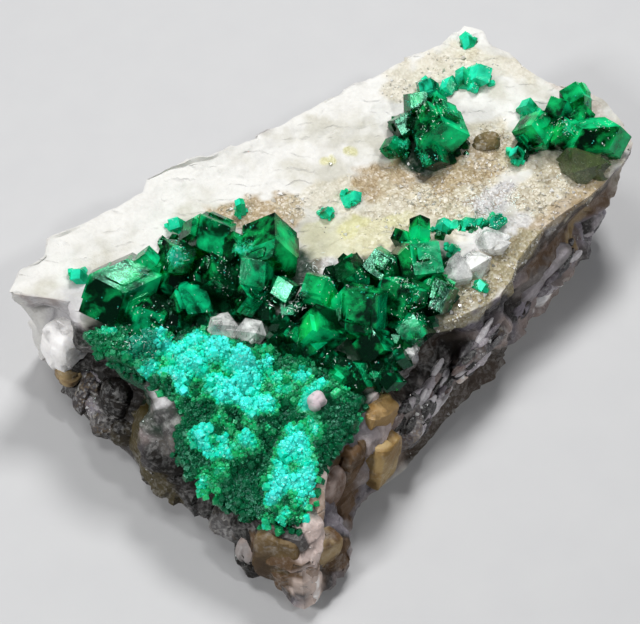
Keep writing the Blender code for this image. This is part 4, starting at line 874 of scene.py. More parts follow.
def glossy_paint(s):
    """The block's calcite where it is glassy and looks wet."""
    painted = calcite_paint(s)
    painted["Roughness"] = 0.10 + s.noise(0.5, detail=3.0).held(0.35, 0.65) * 0.30
    painted["Specular IOR Level"] = 0.8
    return painted


points, faces, tint = together(splinters(700))
slivers = piece("wall_slivers", points, faces, finish("glossy_calcite", glossy_paint), tint=tint, sharp=22.0,
                sugar=np.full(len(points), 0.2), rough=np.full(len(points), 1.2))
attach(slivers, "root")


# ================================================================ the dioptase crystals
# Emerald prisms with six sides and three-faced caps, 3 to 11 mm long, grown out of the calcite and into
# each other, with growth steps on their faces. Each cluster is one clear solid, deep green inside.
CAP_SLOPE = math.tan(math.radians(50.8))
CRYSTAL_CORNERS, LOW_TIP, HIGH_TIP = 14, 12, 13
# Each crystal: its middle (x, y, z), how it is turned (bearing, rise, roll), its radius and its length.
CLUSTERS = {
    "left_crystals": (
        (-25.4, 10.4, 16.9, 172, 4, 14, 3.5, 11.0),
        (-21.9, 10.0, 18.2, 215, 76, 0, 1.5, 6.0),
        (-19.4, 8.4, 18.5, 235, 68, 30, 2.2, 6.5),
        (-20.6, 7.6, 16.6, 215, 45, 0, 2.2, 6.0),
        (-14.5, 9.0, 17.4, 208, 36, 10, 3.2, 8.0),
        (-10.9, 3.0, 17.6, 30, 52, 20, 3.5, 8.5),
        (-13.4, 5.6, 16.8, 240, 50, 0, 2.6, 6.5),
        (-17.4, 4.8, 16.6, 228, 50, 0, 2.9, 7.0),
        (-21.0, 4.6, 15.9, 224, 28, 25, 2.6, 6.5),
        (-16.8, 0.6, 15.6, 250, 66, 0, 1.8, 5.2),
        (-14.0, 2.2, 16.6, 300, 60, 0, 2.4, 6.2),
        (-25.0, 6.6, 15.6, 200, 14, 0, 2.5, 7.5),
        (-12.9, -1.0, 15.8, 280, 50, 0, 1.7, 5.0),
    ),
    "middle_crystals": (
        (-10.1, -4.2, 15.7, 118, 60, 0, 2.1, 6.5),
        (-13.1, -7.4, 14.8, 222, 55, 15, 2.8, 7.0),
        (-8.8, -8.8, 15.2, 290, 62, 10, 3.4, 8.8),
        (-6.3, -5.2, 15.7, 60, 64, 0, 2.0, 5.6),
        (-2.8, -6.6, 15.7, 100, 66, 0, 2.2, 6.0),
        (0.3, -8.7, 16.1, 330, 50, 0, 2.9, 7.2),
        (3.2, -6.4, 16.3, 45, 66, 0, 1.3, 5.2),
        (1.8, -5.4, 15.8, 90, 40, 0, 1.1, 3.6),
        (-4.4, -10.4, 15.1, 262, 66, 20, 2.8, 7.0),
        (-1.2, -12.8, 14.8, 282, 54, 0, 2.3, 6.0),
        (-5.6, -13.4, 13.7, 262, 34, 0, 2.2, 6.0),
        (-10.2, -12.4, 13.6, 250, 45, 0, 2.4, 6.2),
        (-14.0, -13.8, 12.6, 245, 40, 10, 2.4, 6.0),
        (-15.8, -6.0, 14.2, 200, 60, 0, 1.8, 5.0),
        (-15.2, -10.2, 13.4, 215, 60, 0, 1.8, 5.0),
    ),
    "top_crystals": (
        (15.8, 2.2, 18.1, 226, 58, 12, 3.5, 8.5),
        (17.0, 6.6, 18.2, 150, 66, 0, 1.7, 5.4),
        (14.0, 6.0, 17.5, 170, 50, 0, 1.6, 4.8),
        (10.9, 4.8, 17.0, 200, 48, 0, 1.4, 4.4),
        (13.2, 0.8, 16.9, 240, 30, 0, 1.9, 5.2),
        (18.8, 5.4, 17.6, 40, 40, 0, 1.5, 4.6),
    ),
    "right_crystals": (
        (24.4, -5.2, 17.0, 195, 58, 0, 2.5, 6.4),
        (31.4, -5.6, 17.5, 60, 70, 10, 1.9, 5.6),
        (28.9, -5.2, 17.2, 110, 60, 0, 1.7, 5.2),
        (26.6, -7.6, 16.8, 230, 55, 0, 2.0, 5.6),
        (28.6, -10.6, 16.8, 316, 5, 15, 2.5, 9.0),
        (29.2, -8.0, 17.2, 20, 60, 0, 1.6, 4.8),
    ),
    "chain_crystals": (
        (20.6, 8.2, 17.8, 150, 45, 0, 1.5, 4.6),
        (22.8, 7.0, 17.6, 20, 30, 0, 1.1, 3.6),
        (24.6, 6.4, 17.9, 40, 50, 0, 1.2, 3.8),
        (26.6, 5.6, 17.9, 310, 36, 0, 1.7, 4.6),
    ),
    "vein_crystals": (
        (6.6, -6.8, 15.2, 30, 50, 0, 1.0, 3.2),
        (7.9, -7.5, 15.2, 330, 30, 0, 0.8, 2.8),
        (9.1, -8.2, 15.2, 320, 40, 0, 0.9, 3.0),
        (10.3, -9.1, 15.1, 300, 30, 0, 0.8, 2.8),
        (11.6, -10.2, 15.0, 340, 50, 0, 1.1, 3.4),
    ),
}
SINGLES = {
    "corner_crystal": ((30.0, 10.4, 18.1, 60, 50, 0, 1.0, 3.2),),
    "crystal_behind_left": ((-15.0, 13.3, 16.9, 150, 50, 0, 1.1, 3.6),),
    "crystal_on_left_rim": ((-27.2, 15.7, 16.2, 140, 60, 0, 1.0, 3.4),),
    "crystal_in_grains": ((-8.4, 10.2, 17.2, 60, 75, 0, 0.7, 3.0),),
    "crystal_on_face": ((2.1, 3.2, 16.1, 330, 25, 0, 1.0, 3.4),),
    "small_crystal_on_face": ((-1.4, 3.4, 16.1, 200, 60, 0, 0.8, 2.8),),
    "crystal_beside_quartz": ((5.2, -9.6, 14.9, 260, 60, 0, 0.8, 2.8),),
    "crystal_at_front_rim": ((4.0, -14.8, 14.1, 270, 50, 0, 0.9, 2.8),),
    "crystal_behind_right": ((27.3, -1.8, 16.9, 200, 50, 0, 1.3, 3.8),),
    "crystal_left_of_right": ((20.8, -5.6, 16.2, 210, 50, 0, 1.1, 3.4),),
}


def crystals(rows, cap_faces=3, slope=CAP_SLOPE):
    """Points and faces of all the crystals of a table: hexagons carried along each one's axis to two tips.

    A corner stands at length / 2 - slope * radius * (1 under the middle of a cap face, 1/2 between two);
    with six cap faces every corner is the first kind.
    """
    rows = np.atleast_2d(np.array(rows, float))
    radius, length = rows[:, 6:7], rows[:, 7:8]
    angle = np.radians(60.0 * np.arange(6))
    even = np.arange(6) % 2 == 0
    upper, lower = (1.0, 1.0) if cap_faces == 6 else (np.where(even, 1.0, 0.5), np.where(even, 0.5, 1.0))
    across, deep = np.cos(angle) * radius, np.sin(angle) * radius
    low = np.stack([across, deep, slope * radius * lower - length / 2 + 0.0 * across], axis=-1)
    high = np.stack([across, deep, length / 2 - slope * radius * upper + 0.0 * across], axis=-1)
    tips = np.zeros((len(rows), 2, 3))
    tips[:, :, 2] = np.column_stack([-length, length]) / 2
    points = np.concatenate([low, high, tips], axis=1)
    points = points @ turns(*rows[:, 3:6].T).transpose(0, 2, 1) + rows[:, None, :3]
    k = np.arange(6)
    sides = np.column_stack([k, (k + 1) % 6, 6 + (k + 1) % 6, 6 + k])
    if cap_faces == 6:
        caps = np.concatenate([np.column_stack([6 + k, 6 + (k + 1) % 6, 0 * k + HIGH_TIP]),
                               np.column_stack([(k + 1) % 6, k, 0 * k + LOW_TIP])])
    else:
        e, o = k[::2], k[1::2]
        caps = np.concatenate([np.column_stack([6 + e, 6 + (e + 1) % 6, 0 * e + HIGH_TIP, 6 + (e - 1) % 6]),
                               np.column_stack([o, (o - 1) % 6, 0 * o + LOW_TIP, (o + 1) % 6])])
    start = CRYSTAL_CORNERS * np.arange(len(rows))[:, None, None]
    faces = [(start + sides).reshape(-1, 4), (start + caps).reshape(-1, caps.shape[1])]
    return points.reshape(-1, 3), faces


def with_steps(rows, count, seed):
    """The crystals and, on each, count smaller parallel ones that stand a little out of its side faces."""
    rows = np.array(rows, float)
    draw = np.random.default_rng(seed)
    parent = np.repeat(rows, count, axis=0)
    size = draw.uniform(0.30, 0.72, len(parent))
    stretch = draw.uniform(0.30, 0.80, len(parent))
    face = np.radians(30.0 + 60.0 * draw.integers(0, 6, len(parent)))
    poke = draw.uniform(0.02, 0.07, len(parent)) * parent[:, 6]
    out = parent[:, 6] * (1.0 - size) * math.cos(math.radians(30.0)) + poke
    slide = draw.uniform(-0.5, 0.5, len(parent)) * parent[:, 7] * (1.0 - stretch)
    offset = np.stack([out * np.cos(face), out * np.sin(face), slide], axis=-1)
    grown = parent.copy()
    grown[:, :3] += (turns(*parent[:, 3:6].T) @ offset[..., None])[..., 0]
    grown[:, 6] *= size
    grown[:, 7] *= stretch
    return np.concatenate([rows, grown])


def with_company(rows, count, seed):
    """The crystals and, round the foot of each, count smaller ones that lean every way."""
    rows = np.array(rows, float)
    draw = np.random.default_rng(seed)
    parent = np.repeat(rows, count, axis=0)
    size = draw.uniform(0.22, 0.55, len(parent))
    about = draw.uniform(0.0, 2.0 * math.pi, len(parent))
    far = draw.uniform(0.6, 1.25, len(parent)) * parent[:, 6]
    place = parent[:, :2] + np.column_stack([far * np.cos(about), far * np.sin(about)])
    radius = parent[:, 6] * size
    return np.concatenate([rows, np.column_stack([
        place, upper_face(*place.T) + 0.5 * radius, np.degrees(about), draw.uniform(20.0, 80.0, len(parent)),
        draw.uniform(0.0, 60.0, len(parent)), radius, 2.6 * radius])])


nothing = bpy.data.objects.new("nothing", bpy.data.meshes.new("nothing"))


def joined(made):
    """Joins the overlapping crystals of a piece into one skin, with nothing left inside."""
    step = made.modifiers.new("join", "BOOLEAN")
    step.operation, step.solver, step.use_self = "UNION", "EXACT", True
    step.object = nothing
    graph = bpy.context.evaluated_depsgraph_get()
    mesh = bpy.data.meshes.new_from_object(made.evaluated_get(graph))
    made.modifiers.clear()
    made.data = mesh
    return made


# Where light caught inside makes a crystal glow: a place (x, y, z), its reach, and how strongly.
GLOWS = (
    (-22.2, 8.6, 19.4, 2.0, 1.0), (-20.5, 7.2, 20.2, 1.8, 0.6), (-15.6, 7.4, 19.5, 1.6, 0.5),
    (-9.9, 1.4, 19.2, 2.6, 1.0), (-12.7, 0.9, 18.0, 1.6, 0.45), (-29.9, 10.0, 17.0, 1.1, 0.6),
    (-27.7, 9.4, 19.5, 1.2, 0.3), (-14.8, 1.2, 16.8, 1.4, 0.5), (-10.6, -5.4, 17.2, 1.9, 1.0),
    (-14.7, -7.9, 17.0, 2.2, 0.9), (-11.3, -10.3, 14.8, 1.3, 1.0), (-0.6, -10.7, 17.2, 1.5, 0.6),
    (-1.1, -8.1, 18.4, 1.6, 0.7), (3.2, -6.4, 17.2, 1.7, 0.9), (0.4, -12.6, 15.6, 1.5, 0.8),
    (-15.6, -12.6, 14.2, 1.5, 0.5), (15.1, -0.2, 19.6, 1.9, 1.0), (14.4, 5.6, 18.6, 1.2, 0.5),
    (23.3, -5.8, 19.0, 1.9, 0.9), (29.9, -6.6, 18.6, 1.9, 0.8), (28.0, -11.7, 18.2, 1.9, 0.45),
    (29.8, -13.6, 16.9, 1.5, 0.7), (26.6, -7.8, 17.8, 1.4, 0.9), (26.6, 5.6, 18.8, 1.5, 0.8),
)
# Where a crystal is frosted mint.
FROSTED = (
    (-20.5, 7.2, 20.6, 1.5, 0.95), (-28.2, 10.2, 19.9, 1.1, 0.5), (-13.6, 4.2, 19.6, 1.5, 0.7),
    (-12.6, -3.6, 17.4, 1.3, 0.6), (-8.4, -8.8, 18.2, 1.1, 0.5), (1.0, -5.4, 18.6, 1.2, 0.6),
    (-3.8, -12.2, 17.0, 2.0, 0.35), (12.0, 3.6, 18.2, 1.6, 0.8), (11.8, 0.6, 17.6, 1.4, 0.6),
    (15.2, 6.6, 19.6, 1.3, 0.5), (25.6, -8.8, 19.8, 1.3, 0.9), (28.4, -3.0, 19.4, 1.4, 0.5),
    (32.6, -7.6, 18.6, 1.3, 0.6), (-14.0, -14.0, 14.6, 1.6, 0.5), (-22.0, 3.4, 17.0, 2.0, 0.35),
)


def strongest(points, table):
    """For each point the highest of strength * e^(-(distance / reach)^2) over the places of a table."""
    highest = np.zeros(len(points))
    for x, y, z, reach, strength in table:
        highest = np.maximum(highest, strength * np.exp(-((points - (x, y, z)) ** 2).sum(axis=1) / reach**2))
    return highest


def lit(made, foot, tip, frosty, levels, seed):
    """Cuts the faces finer, bends them slightly and gives them three values: facet, by the plane that a face
    lies in, and glow and frost by the tables of places. Glow is at least foot at the block and tip at the
    top, and frost at least frosty."""
    mesh = made.data
    normal, centre = (np.empty(3 * len(mesh.polygons), np.float32) for _ in range(2))
    mesh.polygons.foreach_get("normal", normal)
    mesh.polygons.foreach_get("center", centre)
    normal, centre = normal.reshape(-1, 3), centre.reshape(-1, 3) / MM
    plane = normal * 1.7 + (normal * centre).sum(axis=1, keepdims=True) * (0.37, 0.41, 0.53)
    facet = np.clip(0.5 + 0.9 * swirl(plane, 1.0, seed), 0.0, 1.0)
    mesh.attributes.new("facet", "FLOAT", "FACE").data.foreach_set("value", facet.astype(np.float32))
    step = made.modifiers.new("finer", "SUBSURF")
    step.subdivision_type, step.levels, step.render_levels = "SIMPLE", levels, levels
    graph = bpy.context.evaluated_depsgraph_get()
    mesh = bpy.data.meshes.new_from_object(made.evaluated_get(graph))
    made.modifiers.clear()
    made.data = mesh
    places = np.empty(3 * len(mesh.vertices), np.float32)
    mesh.vertices.foreach_get("co", places)
    places = places.reshape(-1, 3) / MM + MIDDLE
    soft = 0.45 * swirl(places, 1.5, seed + 1) + 0.35 * swirl(places, 0.7, seed + 2)
    least = foot + (tip - foot) * np.clip((places[:, 2] - upper_face(*places[:, :2].T)) / 3.0, 0.0, 1.0)
    values = {"glow": np.maximum(strongest(places, GLOWS), least) * (1.0 + 1.2 * soft),
              "frost": np.maximum(strongest(places, FROSTED), frosty) + 0.4 * soft}
    for key, value in values.items():
        value = np.clip(value, 0.0, 1.0).astype(np.float32)
        mesh.attributes.new(key, "FLOAT", "POINT").data.foreach_set("value", value)
    bent = np.stack([swirl(places, 1.5, seed + n) for n in (5, 6, 7)], axis=-1)
    mesh.vertices.foreach_set("co", ((places + 0.05 * bent - MIDDLE) * MM).astype(np.float32).ravel())
    mesh.shade_smooth()
    mesh.set_sharp_from_angle(angle=math.radians(28.0))
    return made


# How strongly the tips of each large cluster glow, and in what colours, on its dull facets and on its lively.
TIP_GLOW = {"left_crystals": 0.28, "middle_crystals": 0.36, "top_crystals": 0.40, "right_crystals": 0.56}
GLOW_GREEN = ((0.008, 0.78, 0.15, 1.0), (0.004, 0.92, 0.36, 1.0))
GLOW_MINT = ((0.008, 0.74, 0.30, 1.0), (0.025, 0.92, 0.56, 1.0))


def emerald_paint(s, lively=GLOW_GREEN):
    """Clear deep green that differs from facet to facet, lively green where it glows, with faint growth
    lines and a broken skin of mint frost where it has one."""
    veil = s.noise(1.5, detail=5.0, rough=0.6, twist=0.35)
    fine = s.noise(0.35, detail=4.0, rough=0.7)
    glow, facet, frost = s.attribute("glow"), s.attribute("facet"), s.attribute("frost")
    crumbly = (frost + (fine - 0.5) * 1.1 + (veil - 0.5) * 0.5).held(0.38, 0.80)
    caught = (glow + (veil - 0.5) * 1.4 + (facet - 0.5) * 0.3).held(0.20, 0.95)
    lines = s.lines("Z", 420.0, 3.0, 2.0, 2.0)
    ground = s.bump(lines * 0.15 + fine * 0.5 + veil, 0.10, 0.32)
    deep = facet.mix((0.0005, 0.040, 0.010, 1.0), (0.003, 0.38, 0.12, 1.0))
    clear = {
        "Base Color": caught.mix(deep, (0.01, 0.92, 0.36, 1.0)),
        "Roughness": 0.17 + crumbly * 0.2,
        "IOR": 1.66,
        "Specular IOR Level": 0.07,
        "Specular Tint": (0.30, 0.90, 0.60, 1.0),
        "Transmission Weight": 0.97,
        "Normal": ground,
    }
    pale = s.cells(0.22).green().held(0.82, 0.97)
    mint_frost = pale.mix((0.03, 0.66, 0.46, 1.0), (0.50, 0.98, 0.86, 1.0))
    skin = {
        "Base Color": crumbly.mix(facet.mix(*lively), mint_frost),
        "Roughness": 0.4,
        "IOR": 1.5,
        "Specular IOR Level": 0.10,
        "Specular Tint": (0.30, 0.90, 0.60, 1.0),
        "Normal": s.bump(s.cells(0.2, output="Distance") * crumbly + fine * 0.5, 0.06, 0.7),
    }
    return clear, skin, crumbly * 0.8 + (1.0 - crumbly) * (caught * 0.8 + facet * 0.008)


EMERALD_GREEN, MINT_GREEN = (0.0, 0.85, 0.48, 1.0), (0.05, 0.95, 0.76, 1.0)
emerald = finish("emerald", emerald_paint, density=1700.0, absorbed=EMERALD_GREEN)
mint = finish("pale_emerald", lambda s: emerald_paint(s, GLOW_MINT), density=420.0, absorbed=MINT_GREEN)
clusters = {}
for number, (name, rows) in enumerate({**CLUSTERS, **SINGLES}.items()):
    large = name in CLUSTERS and CLUSTERS[name][0][6] > 1.6
    if not large:
        company = 7 if name in SINGLES else 4
        rows = with_company(np.array(rows) * (1, 1, 1, 1, 1, 1, 0.88, 0.88), company, 90 + number)
    rows = with_steps(rows, 4 if large else 1, 100 + number)
    made = piece(name + "_clear", *crystals(rows), emerald if large else mint)
    glow = (0.04, TIP_GLOW[name]) if large else (0.66, 0.66)
    cluster = lit(joined(made), *glow, 0.03 if large else 0.30, 2, 170 + 10 * number)
    clusters[name] = cluster
    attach(cluster, "root")
    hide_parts(name)


# ================================================================ the small crystals between the large ones
# Stubby dioptase crystals of half a millimetre to two, which fill the ground between the large ones
# and hem it. They are rooted in the calcite and grown into each other.
# Where they stand: from and to (x, y), reach, how many, and radii.
BETWEEN = (
    ((-28.0, 8.0), (-20.0, 2.6), 1.3, 34, (0.7, 1.4)),
    ((-19.0, 2.0), (-12.0, -4.0), 1.6, 30, (0.5, 1.2)),
    ((-17.0, -4.6), (-14.6, -13.0), 1.3, 34, (0.5, 1.3)),
    ((-13.0, -3.4), (-3.6, -4.0), 1.0, 22, (0.4, 0.9)),
    ((-13.6, -15.0), (-6.0, -14.4), 0.9, 22, (0.6, 1.2)),
    ((-5.0, -13.4), (2.6, -10.4), 1.2, 24, (0.5, 1.1)),
    ((-26.6, 13.2), (-15.0, 11.6), 0.8, 16, (0.35, 0.7)),
    ((12.0, 0.0), (17.6, -0.6), 0.8, 14, (0.35, 0.8)),
    ((11.6, 3.4), (14.4, 7.6), 0.9, 18, (0.4, 0.9)),
    ((16.4, 7.8), (22.0, 8.0), 0.8, 16, (0.3, 0.7)),
    ((22.0, -6.4), (27.0, -3.6), 0.9, 18, (0.4, 0.9)),
    ((30.2, -3.6), (32.6, -7.0), 0.7, 12, (0.35, 0.8)),
    ((4.0, -6.2), (11.6, -10.6), 0.5, 18, (0.3, 0.6)),
)


def scattered(seed):
    """Rows of short crystals rooted in the upper face along the lines of the table, leaning every way."""
    draw = np.random.default_rng(seed)
    rows = []
    for start, end, reach, count, radii in BETWEEN:
        share = draw.random((count, 1))
        place = np.array(start) * (1.0 - share) + np.array(end) * share
        place = place + draw.normal(0.0, 0.6 * reach, (count, 2))
        radius = draw.uniform(*radii, count)
        length = radius * draw.uniform(2.4, 3.4, count)
        rise, bearing = draw.uniform(20.0, 80.0, count), draw.uniform(0.0, 360.0, count)
        roll = draw.uniform(0.0, 60.0, count)
        height = upper_face(*place.T) + 0.12 * length
        rows.append(np.column_stack([place, height, bearing, rise, roll, radius, length]))
    return np.concatenate(rows)


deep_emerald = finish("deep_emerald", emerald_paint, density=4500.0, absorbed=EMERALD_GREEN)
between = joined(piece("small_crystals", *crystals(scattered(160)), deep_emerald))
between = lit(between, 0.02, 0.20, 0.03, 1, 161)
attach(between, "root")


# ================================================================ quartz and calcite grains between them
# Glassy colourless quartz in stubby six-sided crystals beside the dioptase, one of them smoky olive,
# and two loose-looking calcite grains, one stained brown. Each is grown onto the block.
QUARTZ_SLOPE = math.tan(math.radians(51.8))
QUARTZ = {
    "quartz_beside_middle": (
        (3.2, -12.0, 14.7, 40, 70, 0, 2.0, 5.4),
        (5.6, -12.8, 14.6, 300, 50, 0, 1.8, 5.0),
    ),
    "quartz_on_face": ((9.0, -11.8, 14.9, 320, 20, 0, 1.9, 5.2),),
    "quartz_in_front": (
        (-20.6, 0.3, 14.8, 200, 60, 0, 2.0, 5.2),
        (-18.6, -2.2, 14.5, 250, 50, 0, 1.8, 4.8),
    ),
    "quartz_under_middle": ((-7.9, -14.4, 12.6, 262, 40, 0, 1.9, 5.0),),
    "smoky_quartz": ((25.2, -11.6, 15.4, 300, 26, 0, 2.8, 7.2),),
}
# Each grain: its place (x, y, z), bearing, half sizes, colour, how sugary it is, and its stone.
GRAINS = {
    "brown_calcite": (19.8, -1.7, 16.1, 200, (1.1, 1.5, 1.2), (0.16, 0.12, 0.05), 0.5, "stained_calcite"),
    "white_calcite_grain": (-19.6, -13.1, 13.9, 230, (0.7, 0.8, 1.3), (0.62, 0.52, 0.55), 0.0, "calcite"),
}


def quartz_paint(s, milk=(0.98, 0.99, 0.97, 1.0), least=0.24):
    """Clear quartz with milky veils."""
    veil = s.noise(1.6, detail=5.0, rough=0.6, twist=0.4)
    fine = s.noise(0.3, detail=4.0, rough=0.7)
    milky = (veil + fine * 0.3).held(0.55, 0.80)
    ground = s.bump(fine * 0.2 + veil, 0.06, 0.2)
    clear = {
        "Base Color": (0.98, 0.99, 0.98, 1.0),
        "Roughness": 0.03 + milky * 0.15,
        "IOR": 1.54,
        "Transmission Weight": 0.97,
        "Normal": ground,
    }
    cloudy = {"Base Color": milk, "Roughness": 0.08 + milky * 0.2, "IOR": 1.54, "Normal": ground}
    return clear, cloudy, milky * 0.5 + least


quartz = finish("quartz", quartz_paint, density=15.0, absorbed=(0.75, 0.86, 0.80, 1.0))
smoky = finish("smoky_quartz", lambda s: quartz_paint(s, (0.055, 0.085, 0.022, 1.0), 0.36), density=220.0,
               absorbed=(0.58, 0.74, 0.30, 1.0))
for number, (name, rows) in enumerate(QUARTZ.items()):
    points, faces = crystals(with_steps(rows, 2, 200 + number), 6, QUARTZ_SLOPE)
    made = joined(piece(name + "_clear", points, faces, smoky if "smoky" in name else quartz))
    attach(made, "root")
    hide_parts(name)


for number, (name, (x, y, z, bearing, half, colour, grainy, stone)) in enumerate(GRAINS.items()):
    points, _, faces = lump((x, y, z), (bearing, 60, 30), half, 2.9, 0.30, 310 + number)
    made = piece(name + "_grown", points, faces, calcite, tint=np.tile(colour, (len(points), 1)), sharp=24.0,
                 sugar=np.full(len(points), grainy), rough=np.zeros(len(points)))
    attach(made, "root")
    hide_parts(name)


# ================================================================ the crust
# Small dioptase crystals crowded over the block's low front end, frosted to a bright turquoise, with
# greener ones in the gaps, painted darker there as shade. They grew as one mat.
CRUST_OUTLINE = (
    (-31.4, 9.6), (-28.6, 8.2), (-25.6, 5.4), (-22.0, 1.8), (-20.4, -1.6), (-18.6, -4.2),
    (-16.8, -7.4), (-15.8, -10.8), (-16.0, -13.4), (-15.6, -16.0), (-18.4, -17.0), (-21.0, -17.6),
    (-24.0, -18.2), (-27.0, -19.6), (-29.8, -20.8), (-31.4, -18.2), (-32.4, -14.8), (-33.0, -11.6),
    (-33.4, -8.2), (-32.6, -5.0), (-30.2, -4.2), (-29.6, -1.8), (-30.0, 1.4), (-30.8, 4.0), (-31.8, 7.0),
)
CRUST_MIDDLE = (-26.5, -6.5)
CRUST_THICKNESS, CRUST_EDGE, CRUST_LUMPS, CRUST_SINK = 2.0, 0.35, (2.6, 0.7), 2.4
CRUST_SEED = 11
outline = np.array(CRUST_OUTLINE) - CRUST_MIDDLE
outline_bearing = np.arctan2(outline[:, 1], outline[:, 0])
bearing_order = np.argsort(outline_bearing)


def outline_reach(x, y):
    """How far the crust's outline is from its middle in the direction of each point."""
    here = np.arctan2(y - CRUST_MIDDLE[1], x - CRUST_MIDDLE[0])
    corners = np.hypot(outline[:, 0], outline[:, 1])[bearing_order]
    return np.interp(here, outline_bearing[bearing_order], corners, period=2 * math.pi)


def crust_top(x, y):
    """Height of the crust: the block's face plus edge + (thickness + lumps) * (1 - share^4)."""
    share = np.hypot(x - CRUST_MIDDLE[0], y - CRUST_MIDDLE[1]) / outline_reach(x, y)
    size, height = CRUST_LUMPS
    lumps = height * swirl(np.stack([x, y, 0.0 * x], axis=-1), size, CRUST_SEED)
    thickness = CRUST_EDGE + (CRUST_THICKNESS + lumps) * (1.0 - np.clip(share, 0.0, 1.0) ** 4)
    return upper_face(x, y) + thickness


def crumbs(x, y):
    """The crust's finer relief, rounded blocks of two sizes, and how high each place stands, -1 to 1."""
    flat = np.stack([x, y, 0.0 * x], axis=-1)
    coarse, small = blocks(flat, 2.7, 140, dome=1.7), blocks(flat, 1.3, 150, dome=1.3)
    stand = 1.8 * (coarse + 0.35) + 1.1 * (small + 0.35) + 0.5 * swirl(flat, CRUST_LUMPS[0], CRUST_SEED)
    return 1.3 * coarse + 0.70 * small + 0.65, stand


def crust_height(x, y):
    """The crust's top with its finer relief, nowhere thinner than a millimetre over the block."""
    return np.maximum(crust_top(x, y) + crumbs(x, y)[0], np.minimum(crust_top(x, y), upper_face(x, y) + 1.0))


def strongest_band(points, table, seed):
    """For each point the highest of strength * patch over the bands of a table."""
    highest = np.zeros(len(points))
    for start, end, reach, strength in table:
        highest = np.maximum(highest, strength * patch(points, start, end, reach, seed=seed))
    return highest


# Bright belts of the crust: from and to (x, y, z), reach, and how strongly.
BELTS = (
    ((-28.4, 2.8, 15.4), (-24.0, -2.6, 15.4), 2.4, 1.0),
    ((-26.0, -2.6, 15.0), (-20.8, -10.6, 14.8), 3.2, 1.0),
    ((-21.0, -10.0, 14.6), (-22.0, -15.4, 14.2), 2.4, 0.8),
    ((-24.4, -15.0, 14.0), (-29.0, -20.0, 12.4), 3.0, 1.0),
    ((-30.8, -6.4, 13.0), (-30.4, -9.6, 12.8), 1.4, 0.7),
)
# Dark stretches of it along its edges: from and to (x, y, z), and reach.
SHADED = (
    ((-32.0, 8.0, 15.0), (-28.6, 4.4, 15.4), 2.2),
    ((-19.0, -5.0, 14.0), (-16.6, -10.0, 14.0), 1.2),
    ((-30.4, -2.6, 13.6), (-32.4, -10.4, 12.6), 0.9),
)
TURQUOISE, SEA, LEAF, DEEP = (0.06, 1.00, 0.86), (0.01, 0.86, 0.60), (0.01, 0.50, 0.15), (0.002, 0.10, 0.035)
DARK_LEAF = (0.002, 0.16, 0.05)


def crust_tint(points, draw):
    """A colour per point: turquoise on the high bright belts, leaf and deep green between, partly painted
    shade.
    """
    stand = crumbs(points[..., 0], points[..., 1])[1]
    patchy = 0.36 + 0.50 * stand + 0.50 * swirl(points, 3.4, 120) + draw.normal(0, 0.06, len(points))
    belt = strongest_band(points, BELTS, 130)
    level = np.clip(0.76 * patchy + 0.96 * belt - 0.12, 0.0, 1.0) * 2.999
    colours = np.array([DEEP, LEAF, SEA, TURQUOISE])
    low = level.astype(int)
    tint = colours[low] + (colours[low + 1] - colours[low]) * (level - low)[:, None]
    dark = np.zeros(len(points))
    for number, (start, end, reach) in enumerate(SHADED):
        dark = np.maximum(dark, patch(points, start, end, reach, seed=132 + number))
    return tint + (np.array(DARK_LEAF) - tint) * 0.85 * dark[:, None]


def frost_paint(s):
    """Small frosted crystals: their own tint, whiter on crumbly skins and in specks of painted sparkle, clear
    enough to glow at thin edges.
    """
    fine = s.noise(0.22, detail=3.0, rough=0.7)
    powder = s.noise(0.9, detail=4.0, rough=0.6)
    frost = (fine * 0.7 + powder * 0.6).held(0.66, 0.95)
    pale = s.cells(0.2).green().held(0.95, 0.99)
    tint = s.attribute("tint", output="Color")
    light = tint.green()
    tinted = (frost * light * 0.8).mix(tint, (0.34, 0.98, 0.82, 1.0))
    return {
        "Base Color": (pale * light * 0.5).mix(tinted, (0.60, 1.0, 0.90, 1.0)),
        "Roughness": 0.18 + frost * 0.35,
        "IOR": 1.6,
        "Specular IOR Level": 0.3,
        "Specular Tint": (0.40, 1.0, 0.80, 1.0),
        "Transmission Weight": 0.10,
        "Subsurface Weight": 0.2,
        "Subsurface Radius": (0.2, 1.0, 0.8),
        "Subsurface Scale": 0.0006,
        "Normal": s.bump(fine + powder, 0.10, 0.6),
    }


def inside_outline(x, y):
    """Whether each point is within the crust's outline."""
    return np.hypot(x - CRUST_MIDDLE[0], y - CRUST_MIDDLE[1]) < outline_reach(x, y)


def nearest_on(points, faces):
    """Looks up the nearest place on a surface, and the normal there."""
    rows = [face for group in faces for face in group.tolist()]
    return BVHTree.FromPolygons(points.tolist(), rows).find_nearest


def rooted(rows, grounds):
    """The crystals. Any that stands clear of every ground is moved straight towards the nearest one, until
    its middle is no more than 0.35 of its radius out of it."""
    rows = rows.copy()
    for row in rows:
        found = [ground(row[:3].tolist())[:2] for ground in grounds]
        clear = [row[:3] - hit for hit, _ in found]
        if all(out @ np.array(normal) > 0.0 for out, (_, normal) in zip(clear, found)):
            out = min(clear, key=np.linalg.norm)
            row[:3] -= out * max(1.0 - 0.35 * row[6] / np.linalg.norm(out), 0.0)
    return rows


# How many large crystals, how far apart at least, and the factors of their places, turns, radii and lengths.
LARGE_COUNT, LARGE_GAP, LARGE_SHRINK = 36, 1.9, (1, 1, 1, 1, 1, 1, 0.36, 0.45)
# How many of each smaller size, and their radii. Then the same for those along the edge.
SMALL_SIZES = ((90, (0.30, 0.52)), (900, (0.16, 0.32)), (5000, (0.09, 0.20)))
EDGE_COUNT, EDGE_RADII, EDGE_SPREAD = 480, (0.18, 0.55), 0.22
GRAIN_ROOM = (-19.8, -13.3, 1.5)  # left free for the white calcite grain: x, y and radius

